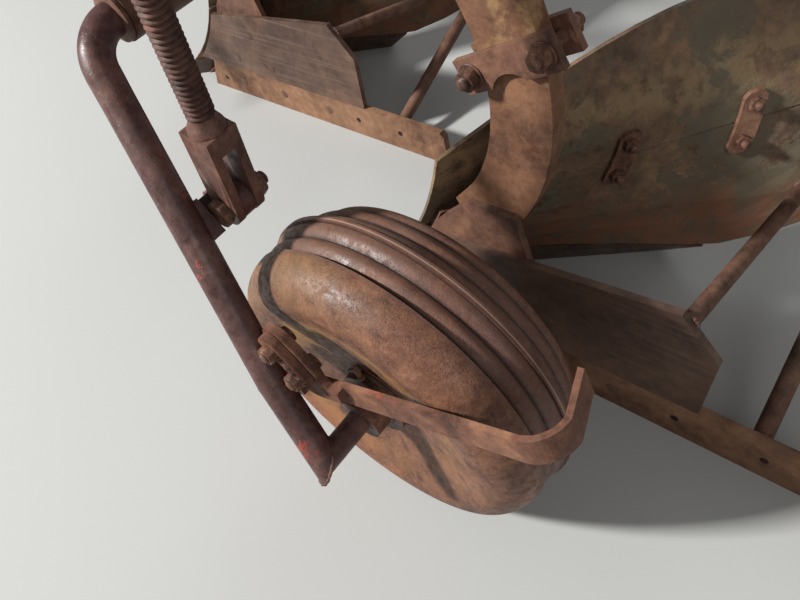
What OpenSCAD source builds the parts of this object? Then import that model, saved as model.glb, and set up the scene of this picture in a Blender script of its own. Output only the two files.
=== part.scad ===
// Two-furrow mouldboard plough with a screw-set depth wheel.
// +X is the way it travels, +Y the unploughed land side, +Z up, ground at zero.
// Sizes are worked out from the wheel's axle, then moved so the origin is under the middle.

/* [Depth wheel] */
// Largest diameter of the pressed wheel, at its seam
wheel_d = 492; // [440:4:520]
// Width of the wheel's outer half, from its seam
outer_w = 104; // [96:1:106]
// Width of the wheel's inner half, from its seam
inner_w = 72; // [66:1:84]
// Sheet thickness of the wheel's shells
shell_t = 4; // [3:0.5:6]
// Spacing of the round ribs beside the seam
rib_pitch = 23.5; // [22:0.5:25]
// Depth of the grooves between the ribs
rib_depth = 7; // [4:0.5:8]
// Diameter of the round hole in the wheel's face
face_hole_d = 28; // [16:1:34]
// Outside diameter of the hub
hub_d = 66; // [56:1:76]
// How far the hub stands out past the wheel's face
hub_out = 14; // [8:1:20]

/* [Crank arm] */
// Diameter of the crank arm's pipe
arm_d = 40; // [34:1:44]
// Diameter of the stub axle
stub_d = 34; // [28:1:40]
// How far the arm's foot stands out from the wheel's middle
elbow_out = 187; // [184:1:200]
// Radius of the arm's upper bend
bend_r = 55; // [50:1:70]
// Running clearance between a shaft and its bore, on the radius
running = 0.06; // [0.03:0.01:0.1]
// Height of the pivot shaft over the ground
pivot_z = 693; // [688:1:696]
// Distance of the pivot shaft ahead of the wheel's axle
pivot_x = 328; // [316:1:336]

/* [Scraper] */
// Thickness of the scraper strap
strap_t = 8; // [6:1:10]
// Height of the scraper strap
strap_h = 36; // [28:1:44]
// Gap from the wheel's rim to the strap behind it
strap_gap = 87; // [60:1:95]
// How far the strap's end stays short of the wheel's seam
strap_short = 8; // [0:2:30]

/* [Depth screw] */
// Outside diameter of the screw's thread
screw_d = 33; // [28:1:36]
// Free length of the screw above its fork
screw_len = 310; // [300:5:330]
// Width of the fork across the screw
fork_w = 46; // [38:1:48]
// Thickness of each leg of the fork
fork_leg = 12; // [10:1:14]
// Thickness of the lug between the fork's legs
lug_t = 18; // [14:1:20]
// Diameter of the fork's pin
fork_pin_d = 18; // [14:1:20]
// Room round the pin in the fork's eyes, on the radius
eye_room = 2.3; // [2:0.1:3]
// Length of the crank handle's arm
crank_len = 170; // [120:5:200]

/* [Beams] */
// Depth of the flat bar that makes a beam and its leg
beam_w = 88; // [76:1:90]
// Thickness of that flat bar
beam_t = 28; // [22:1:32]
// Radius of the leg's long curve, on its middle line
leg_r = 320; // [310:1:330]
// Radius of the curve between leg and beam, on its middle line
neck_r = 230; // [225:1:240]

/* [Bodies] */
// Furrow width of each body
furrow_w = 360; // [340:5:400]
// Distance from one body to the next along the travel
body_spacing = 950; // [900:10:980]
// Distance of the rear landside from the wheel's middle
landside_off = 205; // [200:1:215]
// Thickness of the landside plate and its bar
landside_t = 12; // [10:1:14]
// Height of the landside bar
bar_h = 84; // [70:1:90]
// Thickness of the mouldboard plates
board_t = 7; // [5:0.5:8]
// Length of the mouldboard along its curve
board_len = 850; // [800:10:860]
// Height of the mouldboard at its middle
board_h = 475; // [440:5:500]
// Width of the slit between the two mouldboard plates
slit_w = 4; // [2:0.5:8]
// Thickness of the frog
frog_t = 12; // [10:1:14]
// Angle of the share's cutting edge to the travel
share_angle = 34; // [32:1:38]
// Thickness of the share
share_t = 9; // [7:0.5:11]
// Thickness of the strips that join the mouldboard plates
strip_t = 8; // [6:1:10]

/* [Frame and hitch] */
// Width and height of the cross members' square tube
tube_w = 80; // [70:5:90]
// Wall of the square tube
tube_wall = 6; // [4:0.5:8]
// Diameter of the hitch shaft
hitch_d = 50; // [44:1:56]
// Diameter of the lower hitch pins
hitch_pin_d = 28; // [22:1:28]
// Distance between the shoulders of the lower hitch pins
hitch_span = 824; // [680:4:840]
// Height of the hitch shaft over the ground
hitch_z = 560; // [530:5:600]
// Height of the top link hole over the hitch shaft
mast_h = 610; // [580:5:640]
// Diameter of the top link hole
top_hole_d = 25.5; // [19.5:0.5:26]
// Gap between the headstock's uprights
mast_gap = 52; // [44:1:60]

/* [Hidden] */
$fn = 48;

// Where the wheel's axle is from the middle of the plough
middle_x = 466;
middle_y = -522.848;
near = 0.3;
far = 4000;

// Wheel
seam_r = wheel_d / 2;
axle_z = seam_r;
seam_band = 4;
seam_rise = 1.2;
// Each half of the wheel: side, width, drop across its ribs, radius of its shoulder's top and of its rim,
// depth of its dish
halves = [[1, outer_w, 10, seam_r - 2, seam_r - 58, 28], [-1, inner_w, 22, seam_r - 25, seam_r - 62, 21]];
SIDE = 0;
WIDE = 1;
DROP = 2;
TOP = 3;
RIM = 4;
DEEP = 5;
hub_r = hub_d / 2;
hub_end = outer_w + hub_out;
outer_face = halves[0][WIDE] - halves[0][DEEP];
inner_face = halves[1][WIDE] - halves[1][DEEP];
hub_inner = inner_face + 10;
hub_ring_w = 18;
hub_flange_t = 14;
hub_ring_t = 5;
face_hole_r = 78;
face_hole_turn = 97;
profile_steps = 8;

// Crank arm, from its foot to the pivot shaft
elbow = [0, elbow_out, axle_z];
arm_kink = [69, elbow_out - 21, axle_z + 104];
arm_top = [pivot_x, 50, pivot_z];
arm_low_dir = (arm_kink - elbow) / norm(arm_kink - elbow);
arm_dir = (arm_top - arm_kink) / norm(arm_top - arm_kink);
inward = [0, -1, 0];
bend_angle = acos(arm_dir * inward);
bend_tangent = bend_r * tan(bend_angle / 2);
bend_side = (inward - cos(bend_angle) * arm_dir) / sin(bend_angle);

// Depth screw, in an upright plane beside the arm
screw_y = 44;
screw_foot = [176, 508];
screw_lean = 5.5;
screw_grip = 390;
fork_gap = lug_t + 2;
fork_total = fork_gap + 2 * fork_leg;
fork_len = 162;
fork_slot = 84;
lug_r = 22;
lug_foot = [216, 492];
lug_block = [26, 34];
lug_pad_y = 82;
lug_pad_at = [202, 497];
lug_pad = [54, 50];
block_w = 54;
block_h = 50;
nut_journal_d = screw_d + 9;
nut_collar_d = 56;
nut_collar_h = 8;
nut_hub_h = 30;
nut_bore_room = 0.1;
trunnion_pin_d = 22;
trunnion_lug_t = 12;
trunnion_lug_r = 26;
trunnion = [screw_foot[0] - screw_grip * sin(screw_lean), screw_foot[1] + screw_grip * cos(screw_lean)];

// Scraper
bolt_high = [111, 345];
bolt_low = [83, 306];
bolt_pad_r = 19;
bracket_y = 136;
bracket_t = 8;
strap_start = [80, 305];
strap_slope = 18;
strap_turn_r = 40;
strap_side = outer_w + 1;
strap_lean = 20;
axle_along = (strap_start[0]) * cos(strap_slope) - (strap_start[1] - axle_z) * sin(strap_slope);
axle_under = (strap_start[0]) * sin(strap_slope) + (strap_start[1] - axle_z) * cos(strap_slope);
strap_back = axle_along + sqrt(pow(seam_r + strap_gap, 2) - pow(axle_under - strap_h / 2, 2)) + strap_t / 2;

// Landside plane of each body, and the beams beside it
landside_y = -landside_off;
leg_inset = landside_t + frog_t;
leg_c = [271, 514];
leg_low = 45;
leg_high = 26;
foot_len = 110;
neck_c = leg_c + (leg_r - neck_r) * [-cos(leg_high), sin(leg_high)];
beam_z = neck_c[1] + neck_r;
beam_top = beam_z + beam_w / 2;
beam_end = 1400;

// Mouldboard surface
share_point = 430;
share_run = furrow_w / tan(share_angle);
share_top = 60;
share_len = 620;
share_sole = 30;
shin_reach = 400;
shin_rise = 210;
board_sweep = 34;
board_ref = 450;
board_curl = 0.025;
board_inset = 8;
rows = 5;
top_sag = 75;
tail_rise = 140;
slit_z = 245;
slit_slope = 0.07;
strip_places = [330, 520];
strip_half_w = 18;
strip_half_h = 46;

// Frame
rear_beam_y = landside_y - leg_inset;
front_beam_y = rear_beam_y - furrow_w;
member_y = [-190, -790];
front_member_x = 1310;
rear_member_x = 1150;
member_top = beam_top + tube_w;
middle_line = -500;
mast_t = 16;
mast_x = 1430;
mast_z = hitch_z + mast_h;
hitch_x = 1450;
hitch_pin_len = 95;
bracket_off = 215;
bracket_plate_t = 20;

function unit_dir(a, b) = (b - a) / norm(b - a);
function edge_angle(z) = share_angle + board_sweep * pow(max(z, 0) / board_ref, 0.9);
function shin_x(z) = share_point - shin_reach * (1 - exp(-z / shin_rise));
// A point on the mouldboard: along its curve from the shin, at a height, so far behind its face
function board_point(t, z, deep) =
    let (a0 = edge_angle(z), a = a0 - board_curl * t, q = 180 / (PI * board_curl))
    [shin_x(z) - (sin(a0) - sin(a)) * q - deep * sin(a),
        -board_inset - (cos(a) - cos(a0)) * q + deep * cos(a), z];
// Where the mouldboard's back is beside the landside, at a height, so far behind its face
function behind_x(z, inset, deep) =
    shin_x(z) - (inset - board_inset) / tan(edge_angle(z)) - deep / sin(edge_angle(z));
function board_low(t) = share_top + 0.4 + tail_rise * pow(max(t - share_len, 0) / (board_len - share_len), 1.3);
function board_slit(t) = slit_z + slit_slope * t;
function board_high(t) = board_h - top_sag * pow(2 * t / board_len - 1, 2);
// Direction straight out of the mouldboard's back
function board_back(t, z) =
    let (n = cross(board_point(t, z + 1, 0) - board_point(t, z, 0), board_point(t + 1, z, 0) - board_point(t, z, 0)))
    n * sign(n[1]) / norm(n);
function mix(a, b, f) = a + (b - a) * f;
function quads(list) = [for (q = list) each [[q[0], q[1], q[2]], [q[0], q[2], q[3]]]];

// A plate between two grids of points, listed from the shin back and from below up
module plate_between(front, back) {
    n = len(front);
    m = len(front[0]);
    b = n * m;
    faces = concat(
        [for (i = [0:n - 2], j = [0:m - 2]) [i * m + j, (i + 1) * m + j, (i + 1) * m + j + 1, i * m + j + 1]],
        [for (i = [0:n - 2], j = [0:m - 2]) [b + i * m + j, b + i * m + j + 1,
            b + (i + 1) * m + j + 1, b + (i + 1) * m + j]],
        [for (i = [0:n - 2]) [i * m, b + i * m, b + (i + 1) * m, (i + 1) * m]],
        [for (i = [0:n - 2]) [i * m + m - 1, (i + 1) * m + m - 1, b + (i + 1) * m + m - 1, b + i * m + m - 1]],
        [for (j = [0:m - 2]) [j, j + 1, b + j + 1, b + j]],
        [for (j = [0:m - 2]) [(n - 1) * m + j, b + (n - 1) * m + j, b + (n - 1) * m + j + 1, (n - 1) * m + j + 1]]);
    polyhedron(points = concat([for (row = front) each row], [for (row = back) each row]),
        faces = quads(faces), convexity = 4);
}

// Upright outline, from a depth behind the given plane to a thickness further in
module upright(y, thick) {
    translate([0, y, 0]) rotate([90, 0, 0]) linear_extrude(thick) children();
}
module rod_y(x, z, y0, y1, d) {
    translate([x, y1, z]) rotate([-90, 0, 0]) cylinder(h = y0 - y1, d = d);
}
module rod_between(a, b, d) {
    v = b - a;
    translate(a) rotate([0, acos(v[2] / norm(v)), atan2(v[1], v[0])]) cylinder(h = norm(v), d = d);
}
// Half of space, on the side of a point that a direction points to
module half_space(p, dir) {
    translate(p) rotate([0, acos(dir[2]), atan2(dir[1], dir[0])])
        translate([-far / 2, -far / 2, 0]) cube(far);
}
module placed() {
    translate([-middle_x, -middle_y, 0]) children();
}
module on_body(index) {
    translate([index * body_spacing, landside_y - index * furrow_w, 0]) children();
}

// Goose-neck flat bar: foot, long curve of the leg, neck and straight beam, in one body's place
function arc_pts(c, r, from, to, n) = [for (i = [0:n]) let (a = mix(from, to, i / n)) c + r * [cos(a), sin(a)]];
function bar_edge(r_leg, r_neck, straight_end) =
    let (foot = leg_c + r_leg * [-cos(leg_low), -sin(leg_low)])
    concat([foot + foot_len * [cos(leg_low), -sin(leg_low)]],
        arc_pts(leg_c, r_leg, 180 + leg_low, 180 - leg_high, 22),
        arc_pts(neck_c, r_neck, 180 - leg_high, 90, 20),
        [[straight_end, neck_c[1] + r_neck]]);
module beam_bar(straight_end) {
    outer = bar_edge(leg_r + beam_w / 2, neck_r + beam_w / 2, straight_end);
    inner = bar_edge(leg_r - beam_w / 2, neck_r - beam_w / 2, straight_end);
    upright(-leg_inset, beam_t) difference() {
        polygon(concat(outer, reversed(inner)));
        polygon(concat(
            [for (z = [120:20:340]) [behind_x(z, leg_inset + beam_t, board_t + (z < 310 ? frog_t + 6 : 3)), z]],
            [[300, 340], [300, 120]]));
    }
}
module beam_rear() {
    color("#8a5a3c") placed() on_body(0) beam_bar(beam_end);
}
module beam_front() {
    color("#8a5a3c") placed() on_body(1) beam_bar(beam_end - body_spacing);
}

module square_tube(x) {
    translate([x, member_y[1], beam_top]) difference() {
        cube([tube_w, member_y[0] - member_y[1], tube_w]);
        translate([tube_wall, -1, tube_wall])
            cube([tube_w - 2 * tube_wall, member_y[0] - member_y[1] + 2, tube_w - 2 * tube_wall]);
    }
}
module cross_member_front() {
    color("#6e4a3a") placed() square_tube(front_member_x);
}
module cross_member_rear() {
    color("#6e4a3a") placed() square_tube(rear_member_x);
}
module brace_diagonal() {
    plate_l = 100;
    plate_t = 10;
    rear_x = 396;
    front_x = 1010 + beam_w;
    a = [rear_x + plate_l / 2, rear_beam_y - beam_t - plate_t / 2, beam_z];
    b = [front_x + plate_l / 2 + 40, front_beam_y + plate_t / 2, beam_z];
    color("#6e4a3a") placed() {
        translate([rear_x, rear_beam_y - beam_t - plate_t, beam_z - 38]) cube([plate_l, plate_t, 76]);
        translate([front_x + 40, front_beam_y, beam_z - 38]) cube([plate_l, plate_t, 76]);
        intersection() {
            rod_between(a, b, 48);
            translate([0, front_beam_y, 0]) cube([2000, rear_beam_y - beam_t - front_beam_y, 2000]);
        }
    }
}

module headstock_plate(y) {
    color("#7a4b3a") placed() difference() {
        union() {
            upright(y, mast_t) polygon([[front_member_x - 20, member_top], [front_member_x + tube_w + 20, member_top],
                [mast_x + 30, mast_z], [mast_x - 30, mast_z]]);
            rod_y(mast_x, mast_z, y, y - mast_t, 60);
        }
        rod_y(mast_x, mast_z, y + 1, y - mast_t - 1, top_hole_d);
    }
}
module headstock_left() {
    headstock_plate(middle_line + mast_gap / 2 + mast_t);
}
module headstock_right() {
    headstock_plate(middle_line - mast_gap / 2);
}
module headstock_brace() {
    low = [rear_member_x + 20, member_top];
    high = [front_member_x + 50, member_top + 190];
    w = 26;
    color("#7a4b3a") placed() upright(middle_line + mast_gap / 2, mast_gap)
        polygon([low, low + [w, 0], high + [w, 0], high + [w, w], high + [0, w]]);
}
module hitch_shaft() {
    color("#5d463c") placed() {
        rod_y(hitch_x, hitch_z, middle_line + hitch_span / 2, middle_line - hitch_span / 2, hitch_d);
        rod_y(hitch_x, hitch_z, middle_line + hitch_span / 2 + hitch_pin_len,
            middle_line - hitch_span / 2 - hitch_pin_len, hitch_pin_d);
    }
}
module hitch_bracket(y) {
    color("#7a4b3a") placed() difference() {
        union() {
            upright(y + bracket_plate_t / 2, bracket_plate_t) polygon([
                [front_member_x, beam_top], [front_member_x + tube_w + 30, beam_top],
                [front_member_x + tube_w + 30, beam_z - 20], [hitch_x + 40, hitch_z + 14],
                [hitch_x - 36, hitch_z - 20], [front_member_x, beam_z - beam_w / 2]]);
            rod_y(hitch_x, hitch_z, y + bracket_plate_t / 2, y - bracket_plate_t / 2, 84);
        }
        rod_y(hitch_x, hitch_z, y + bracket_plate_t, y - bracket_plate_t, hitch_d + 2 * running);
    }
}
module hitch_bracket_left() {
    hitch_bracket(middle_line + bracket_off);
}
module hitch_bracket_right() {
    hitch_bracket(middle_line - bracket_off);
}

// Height of a row of the mouldboard's grid: below the slit up to the sixth, then above it
function board_row(t, k) = k < 6 ? mix(board_low(t) + (k == 0 ? 1.6 : 0), board_slit(t) - slit_w / 2, k / rows)
    : mix(board_slit(t) + slit_w / 2, board_high(t), (k - 6) / rows);
// Mouldboard plate between two edges, each a height along the curve
module board_sheet(low_upper) {
    ts = [for (i = [0:16]) board_len * i / 16];
    heights = [for (t = ts) let (
        lo = low_upper ? board_slit(t) + slit_w / 2 : board_low(t),
        hi = low_upper ? board_high(t) : board_slit(t) - slit_w / 2)
        [for (j = [0:rows]) mix(lo, hi, j / rows)]];
    plate_between(
        [for (i = [0:len(ts) - 1]) [for (z = heights[i]) board_point(ts[i], z, 0)]],
        [for (i = [0:len(ts) - 1]) [for (z = heights[i]) board_point(ts[i], z, board_t)]]);
}
module joining_strips() {
    for (place = strip_places) {
        offs = [-1, -0.6, 0, 0.6, 1];
        rise = [0.8, 0.96, 1, 0.96, 0.8];
        ts = [for (o = offs) place + o * strip_half_w];
        spans = [for (k = [0:4]) [for (f = [-1, -0.33, 0.33, 1]) board_slit(place) + f * strip_half_h * rise[k]]];
        plate_between(
            [for (k = [0:4]) [for (z = spans[k]) board_point(ts[k], z, board_t + 0.5)]],
            [for (k = [0:4]) [for (z = spans[k]) board_point(ts[k], z, board_t + 0.5 + strip_t)]]);
    }
}
function share_front(f, r) =
    mix([share_point - f * share_run, -f * furrow_w, 0], board_point(f * share_len, share_top, 0), r);
function share_back(f, r, room) =
    mix([share_point - f * share_run - (share_sole + room) * sin(share_angle),
            -f * furrow_w + (share_sole + room) * cos(share_angle), 0],
        board_point(f * share_len, share_top, share_t + room), r);
module share_blade() {
    intersection() {
        plate_between(
            [for (i = [0:10]) [for (r = [0, 0.5, 1]) share_front(i / 10, r)]],
            [for (i = [0:10]) [for (r = [0, 0.5, 1]) share_back(i / 10, r, 0)]]);
        translate([-far / 2, -far, 0]) cube([far, far, share_top]);
    }
}
// Frog: a side plate beside the landside, and a bed behind the share and the mouldboard
module frog_body() {
    bed_run = 210;
    bed_inset = landside_t + frog_t - 2;
    corner = [128, 253];
    head = [47, 332];
    room = 0.6;
    function bed_start(z) = (bed_inset - board_inset + (board_t + room) * cos(edge_angle(z))) / sin(edge_angle(z));
    function bed_along(i, k) = mix(bed_start(board_row(50, k)), bed_run, i / 5);
    plate_between(
        [for (i = [0:5]) [for (k = [0:7]) let (t = bed_along(i, k)) board_point(t, board_row(t, k), board_t + room)]],
        [for (i = [0:5]) [for (k = [0:7]) let (t = bed_along(i, k))
            board_point(t, board_row(t, k), board_t + room + frog_t)]]);
    f0 = 0.15;
    f1 = bed_run / share_len;
    plate_between(
        [for (i = [0:4]) [for (r = [0.15, 0.6, 1.08]) share_back(mix(f0, f1, i / 4), r, near)]],
        [for (i = [0:4]) [for (r = [0.15, 0.6, 1.08]) share_back(mix(f0, f1, i / 4), r, near + frog_t + 4)]]);
    upright(-landside_t, frog_t) polygon(concat(
        [[-64, bar_h + near], [-54, 240], [-34, head[1]], head],
        [for (z = [320:-20:bar_h + near]) [min(behind_x(z, leg_inset, board_t + 6),
            corner[0] - (z - corner[1]) * (corner[0] - head[0]) / (head[1] - corner[1])), z]]));
}
module landside_plate() {
    upright(0, landside_t) polygon(concat(
        [[-330, bar_h]],
        [for (z = [bar_h:25:bar_h + 150]) [behind_x(z, landside_t, board_t + 4), z]],
        [[65, 245], [-284, 288], [-341, 217]]));
}
module landside_bar() {
    upright(0, landside_t + 4) polygon([[-560, 0], [262, 0], [226, bar_h], [-550, bar_h], [-560, bar_h - 10]]);
}
// Round stay from the landside to a place on the mouldboard's back, cut flat against both
module stay(foot, t, z, d) {
    head = board_point(t, z, board_t);
    along = unit_dir(foot, head);
    back = board_back(t, z);
    intersection() {
        rod_between(foot - 40 * along, head + 40 * along, d);
        half_space([0, foot[1] - near, 0], inward);
        half_space(head + 0.5 * back, back);
    }
}
module cross_stay() {
    stay([-290, -landside_t, 264], 672, 160, 24);
}
module heel_stay() {
    stay([-415, -landside_t - 4, 46], 770, 240, 28);
}
// Two plates across the leg, drawn together by bolts outside its edges
module coulter_clamp() {
    mid = [-41, 578];
    tilt = -27;
    plate_w = 148;
    plate_h = 46;
    plate_t = 10;
    bolt_d = 16;
    span = beam_w + bolt_d + 8;
    for (side = [0, 1]) {
        y = side == 0 ? -leg_inset + plate_t : -leg_inset - beam_t;
        upright(y, plate_t) translate(mid) rotate(tilt) difference() {
            translate([-plate_w / 2, -plate_h / 2]) square([plate_w, plate_h]);
            translate([8, -plate_h / 2 - 20]) circle(r = 34);
        }
    }
    for (side = [-1, 1]) {
        c = mid + side * span / 2 * [cos(tilt), sin(tilt)];
        rod_y(c[0], c[1], -leg_inset + plate_t, -leg_inset - beam_t - plate_t, bolt_d);
        rod_y(c[0], c[1], -leg_inset + plate_t + 12, -leg_inset + plate_t, 26, $fn = 6);
    }
}

module rear_frog() {
    color("#7b5240") placed() on_body(0) frog_body();
}
module front_frog() {
    color("#7b5240") placed() on_body(1) frog_body();
}
module rear_share() {
    color("#8f7f74") placed() on_body(0) share_blade();
}
module front_share() {
    color("#8f7f74") placed() on_body(1) share_blade();
}
module rear_mouldboard_lower() {
    color("#5c6b52") placed() on_body(0) board_sheet(false);
}
module front_mouldboard_lower() {
    color("#5c6b52") placed() on_body(1) board_sheet(false);
}
module rear_mouldboard_upper() {
    color("#5f705a") placed() on_body(0) board_sheet(true);
}
module front_mouldboard_upper() {
    color("#5f705a") placed() on_body(1) board_sheet(true);
}
module rear_joining_strips() {
    color("#8a5a46") placed() on_body(0) joining_strips();
}
module front_joining_strips() {
    color("#8a5a46") placed() on_body(1) joining_strips();
}
module rear_landside() {
    color("#6b5348") placed() on_body(0) landside_plate();
}
module front_landside() {
    color("#6b5348") placed() on_body(1) landside_plate();
}
module rear_landside_bar() {
    color("#9a6a48") placed() on_body(0) landside_bar();
}
module front_landside_bar() {
    color("#9a6a48") placed() on_body(1) landside_bar();
}
module rear_cross_stay() {
    color("#7a5844") placed() on_body(0) cross_stay();
}
module front_cross_stay() {
    color("#7a5844") placed() on_body(1) cross_stay();
}
module rear_heel_stay() {
    color("#7a5844") placed() on_body(0) heel_stay();
}
module front_heel_stay() {
    color("#7a5844") placed() on_body(1) heel_stay();
}
module rear_coulter_clamp() {
    color("#80584a") placed() on_body(0) coulter_clamp();
}
module front_coulter_clamp() {
    color("#80584a") placed() on_body(1) coulter_clamp();
}

// Bracket on the rear beam that carries the pivot shaft's sleeve and the screw's trunnion
module wheel_bracket() {
    plate_t = 12;
    sleeve_d = arm_d + 24;
    sleeve_out = 2;
    far_y = rear_beam_y - beam_t - plate_t;
    arm_w = 50;
    lug_in = screw_y - block_w / 2 - 1.5;
    lug_out = screw_y + block_w / 2 + 1.5;
    bridge = 44;
    color("#6f4a3c") placed() difference() {
        union() {
            upright(rear_beam_y + plate_t, plate_t) polygon([
                [trunnion[0] - 40, beam_z], [trunnion[0] - 40, trunnion[1] + 32], [trunnion[0] + 40, trunnion[1] + 32],
                [pivot_x + 60, beam_top - 20], [pivot_x + 60, pivot_z - 20], [pivot_x + 32, pivot_z - 50],
                [pivot_x - 32, pivot_z - 50], [pivot_x - 60, pivot_z - 10]]);
            upright(rear_beam_y - beam_t, plate_t) polygon([
                [pivot_x - 130, beam_top + 14], [pivot_x + 60, beam_top + 14], [pivot_x + 60, pivot_z - 20],
                [pivot_x + 32, pivot_z - 50], [pivot_x - 32, pivot_z - 50], [pivot_x - 60, pivot_z - 10],
                [pivot_x - 130, beam_z - 30]]);
            rod_y(pivot_x, pivot_z, sleeve_out, far_y, sleeve_d);
            translate([pivot_x - 6, 0, 0]) rotate([90, 0, 90]) linear_extrude(12)
                polygon([[rear_beam_y + plate_t, pivot_z + 20], [-60, pivot_z + 20], [rear_beam_y + plate_t, beam_top - 20]]);
            translate([trunnion[0] - arm_w / 2, rear_beam_y + plate_t, trunnion[1] - arm_w / 2])
                cube([arm_w, lug_in - trunnion_lug_t - rear_beam_y - plate_t, arm_w]);
            for (y = [lug_in, lug_out + trunnion_lug_t]) {
                rod_y(trunnion[0], trunnion[1], y, y - trunnion_lug_t, 2 * trunnion_lug_r);
                translate([trunnion[0], y - trunnion_lug_t, trunnion[1] - 25]) cube([bridge + 12, trunnion_lug_t, 50]);
            }
            translate([trunnion[0] + bridge, lug_in - trunnion_lug_t, trunnion[1] - 25])
                cube([12, lug_out - lug_in + 2 * trunnion_lug_t, 50]);
        }
        rod_y(pivot_x, pivot_z, sleeve_out + 1, far_y - 1, arm_d + 2 * running);
        rod_y(trunnion[0], trunnion[1], lug_out + 20, lug_in - 20, trunnion_pin_d + 2 * running);
    }
}

// A block across the machine, turned to lie along the arm
module across_arm(c, y0, y1, size) {
    translate([c[0], y0, c[1]]) rotate([0, atan2(arm_dir[0], arm_dir[2]), 0])
        translate([-size[0] / 2, 0, -size[1] / 2]) cube([size[0], y1 - y0, size[1]]);
}
// Crank arm: stub axle, mitred foot, pipe with a slight kink, round bend, pivot shaft and screw lug
module crank_arm() {
    shaft_end = rear_beam_y - beam_t - 12 - 34;
    stub_end = -hub_inner - 20;
    mitre = (arm_low_dir - inward) / norm(arm_low_dir - inward);
    bend_start = arm_top - bend_tangent * arm_dir;
    bend_centre = bend_start + bend_r * bend_side;
    turn_x = -bend_side;
    turn_z = cross(turn_x, arm_dir);
    color("#5a3a36") placed() difference() {
        union() {
            intersection() {
                rod_between(elbow - 60 * arm_low_dir, arm_kink, arm_d);
                half_space(elbow, mitre);
            }
            intersection() {
                rod_y(0, axle_z, elbow_out + 60, stub_end, stub_d);
                half_space(elbow, -mitre);
            }
            translate(arm_kink) sphere(d = arm_d + 0.6);
            rod_between(arm_kink, bend_start + arm_dir, arm_d);
            multmatrix([[turn_x[0], arm_dir[0], turn_z[0], bend_centre[0]],
                    [turn_x[1], arm_dir[1], turn_z[1], bend_centre[1]],
                    [turn_x[2], arm_dir[2], turn_z[2], bend_centre[2]],
                    [0, 0, 0, 1]])
                rotate_extrude(angle = bend_angle, $fn = 64) translate([bend_r, 0]) circle(d = arm_d + 0.6);
            rod_y(pivot_x, pivot_z, arm_top[1] - bend_tangent + 1, shaft_end, arm_d);
            upright(screw_y + lug_t / 2, lug_t) hull() {
                translate(screw_foot) circle(r = lug_r);
                translate(lug_foot) circle(r = lug_r - 2);
            }
            across_arm(lug_foot, screw_y - lug_t / 2 + 2, 100, lug_block);
            across_arm(lug_pad_at, lug_pad_y, 112, lug_pad);
            translate([bolt_low[0], 0, bolt_low[1]]) rotate([0, -54, 0])
                translate([4, bracket_y + bracket_t + 2 * near, 20]) cube([52, 25, 16]);
        }
        rod_y(screw_foot[0], screw_foot[1], screw_y + lug_t, screw_y - lug_t, fork_pin_d + 0.1);
    }
}
module pivot_collar() {
    y = rear_beam_y - beam_t - 12 - 4;
    color("#6b4a3e") placed() difference() {
        rod_y(pivot_x, pivot_z, y, y - 18, 62);
        rod_y(pivot_x, pivot_z, y + 1, y - 19, arm_d + 0.1);
    }
}
module stub_collar() {
    y = -hub_inner - 1;
    color("#6b4a3e") placed() difference() {
        rod_y(0, axle_z, y, y - 12, 58);
        rod_y(0, axle_z, y + 1, y - 13, stub_d + 0.1);
    }
}

// Half the wheel's outline: ribs, rounded shoulder and dished face, as radius and distance from the seam
function rib_r(h, y) = y < seam_band ? seam_r : seam_r - seam_rise - h[DROP] * y / (2 * rib_pitch)
    - rib_depth * (y < rib_pitch / 2 ? 0.35 : 1) * (1 - abs(sin(180 * y / rib_pitch)));
function shoulder_pt(h, a, inset) = let (start = 2 * rib_pitch + 4)
    [h[RIM] + (h[TOP] - h[RIM] - inset) * sin(a), start + (h[WIDE] - start - inset) * cos(a)];
function face_pt(h, f, inset) =
    [mix(h[RIM], hub_r + hub_ring_w + 2, f), h[WIDE] - h[DEEP] * (1 - cos(180 * f)) / 2 - inset];
function wheel_outline(h, inset) = concat(
    [for (k = [0:2 * profile_steps]) let (y = k * rib_pitch / profile_steps) [rib_r(h, y) - inset, y]],
    [for (a = [90:-15:0]) shoulder_pt(h, a, inset)],
    [for (k = [1:6]) face_pt(h, k / 6, inset)],
    [[hub_r + 0.15, h[WIDE] - h[DEEP] - inset]]);
function reversed(list) = [for (i = [len(list) - 1:-1:0]) list[i]];
module wheel_shell(h) {
    translate([0, 0, axle_z]) rotate([-90 * h[SIDE], 0, 0]) difference() {
        rotate_extrude($fn = 96) polygon(concat(wheel_outline(h, 0), reversed(wheel_outline(h, shell_t))));
        rotate([0, 0, h[SIDE] * face_hole_turn]) translate([face_hole_r, 0, h[WIDE] - h[DEEP] - 2 * shell_t])
            cylinder(h = 6 * shell_t, d = face_hole_d);
    }
}
module wheel_shell_outer() {
    color("#8b6248") placed() wheel_shell(halves[0]);
}
module wheel_shell_inner() {
    color("#8b6248") placed() wheel_shell(halves[1]);
}
module wheel_hub() {
    color("#70493a") placed() difference() {
        union() {
            rod_y(0, axle_z, hub_end, -hub_inner, hub_d);
            rod_y(0, axle_z, outer_face + hub_flange_t, outer_face, hub_d + 2 * hub_ring_w);
            rod_y(0, axle_z, -inner_face, -inner_face - hub_ring_t, hub_d + 2 * hub_ring_w);
        }
        rod_y(0, axle_z, hub_end + 1, -hub_inner - 1, stub_d + 2 * running);
    }
}

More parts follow.
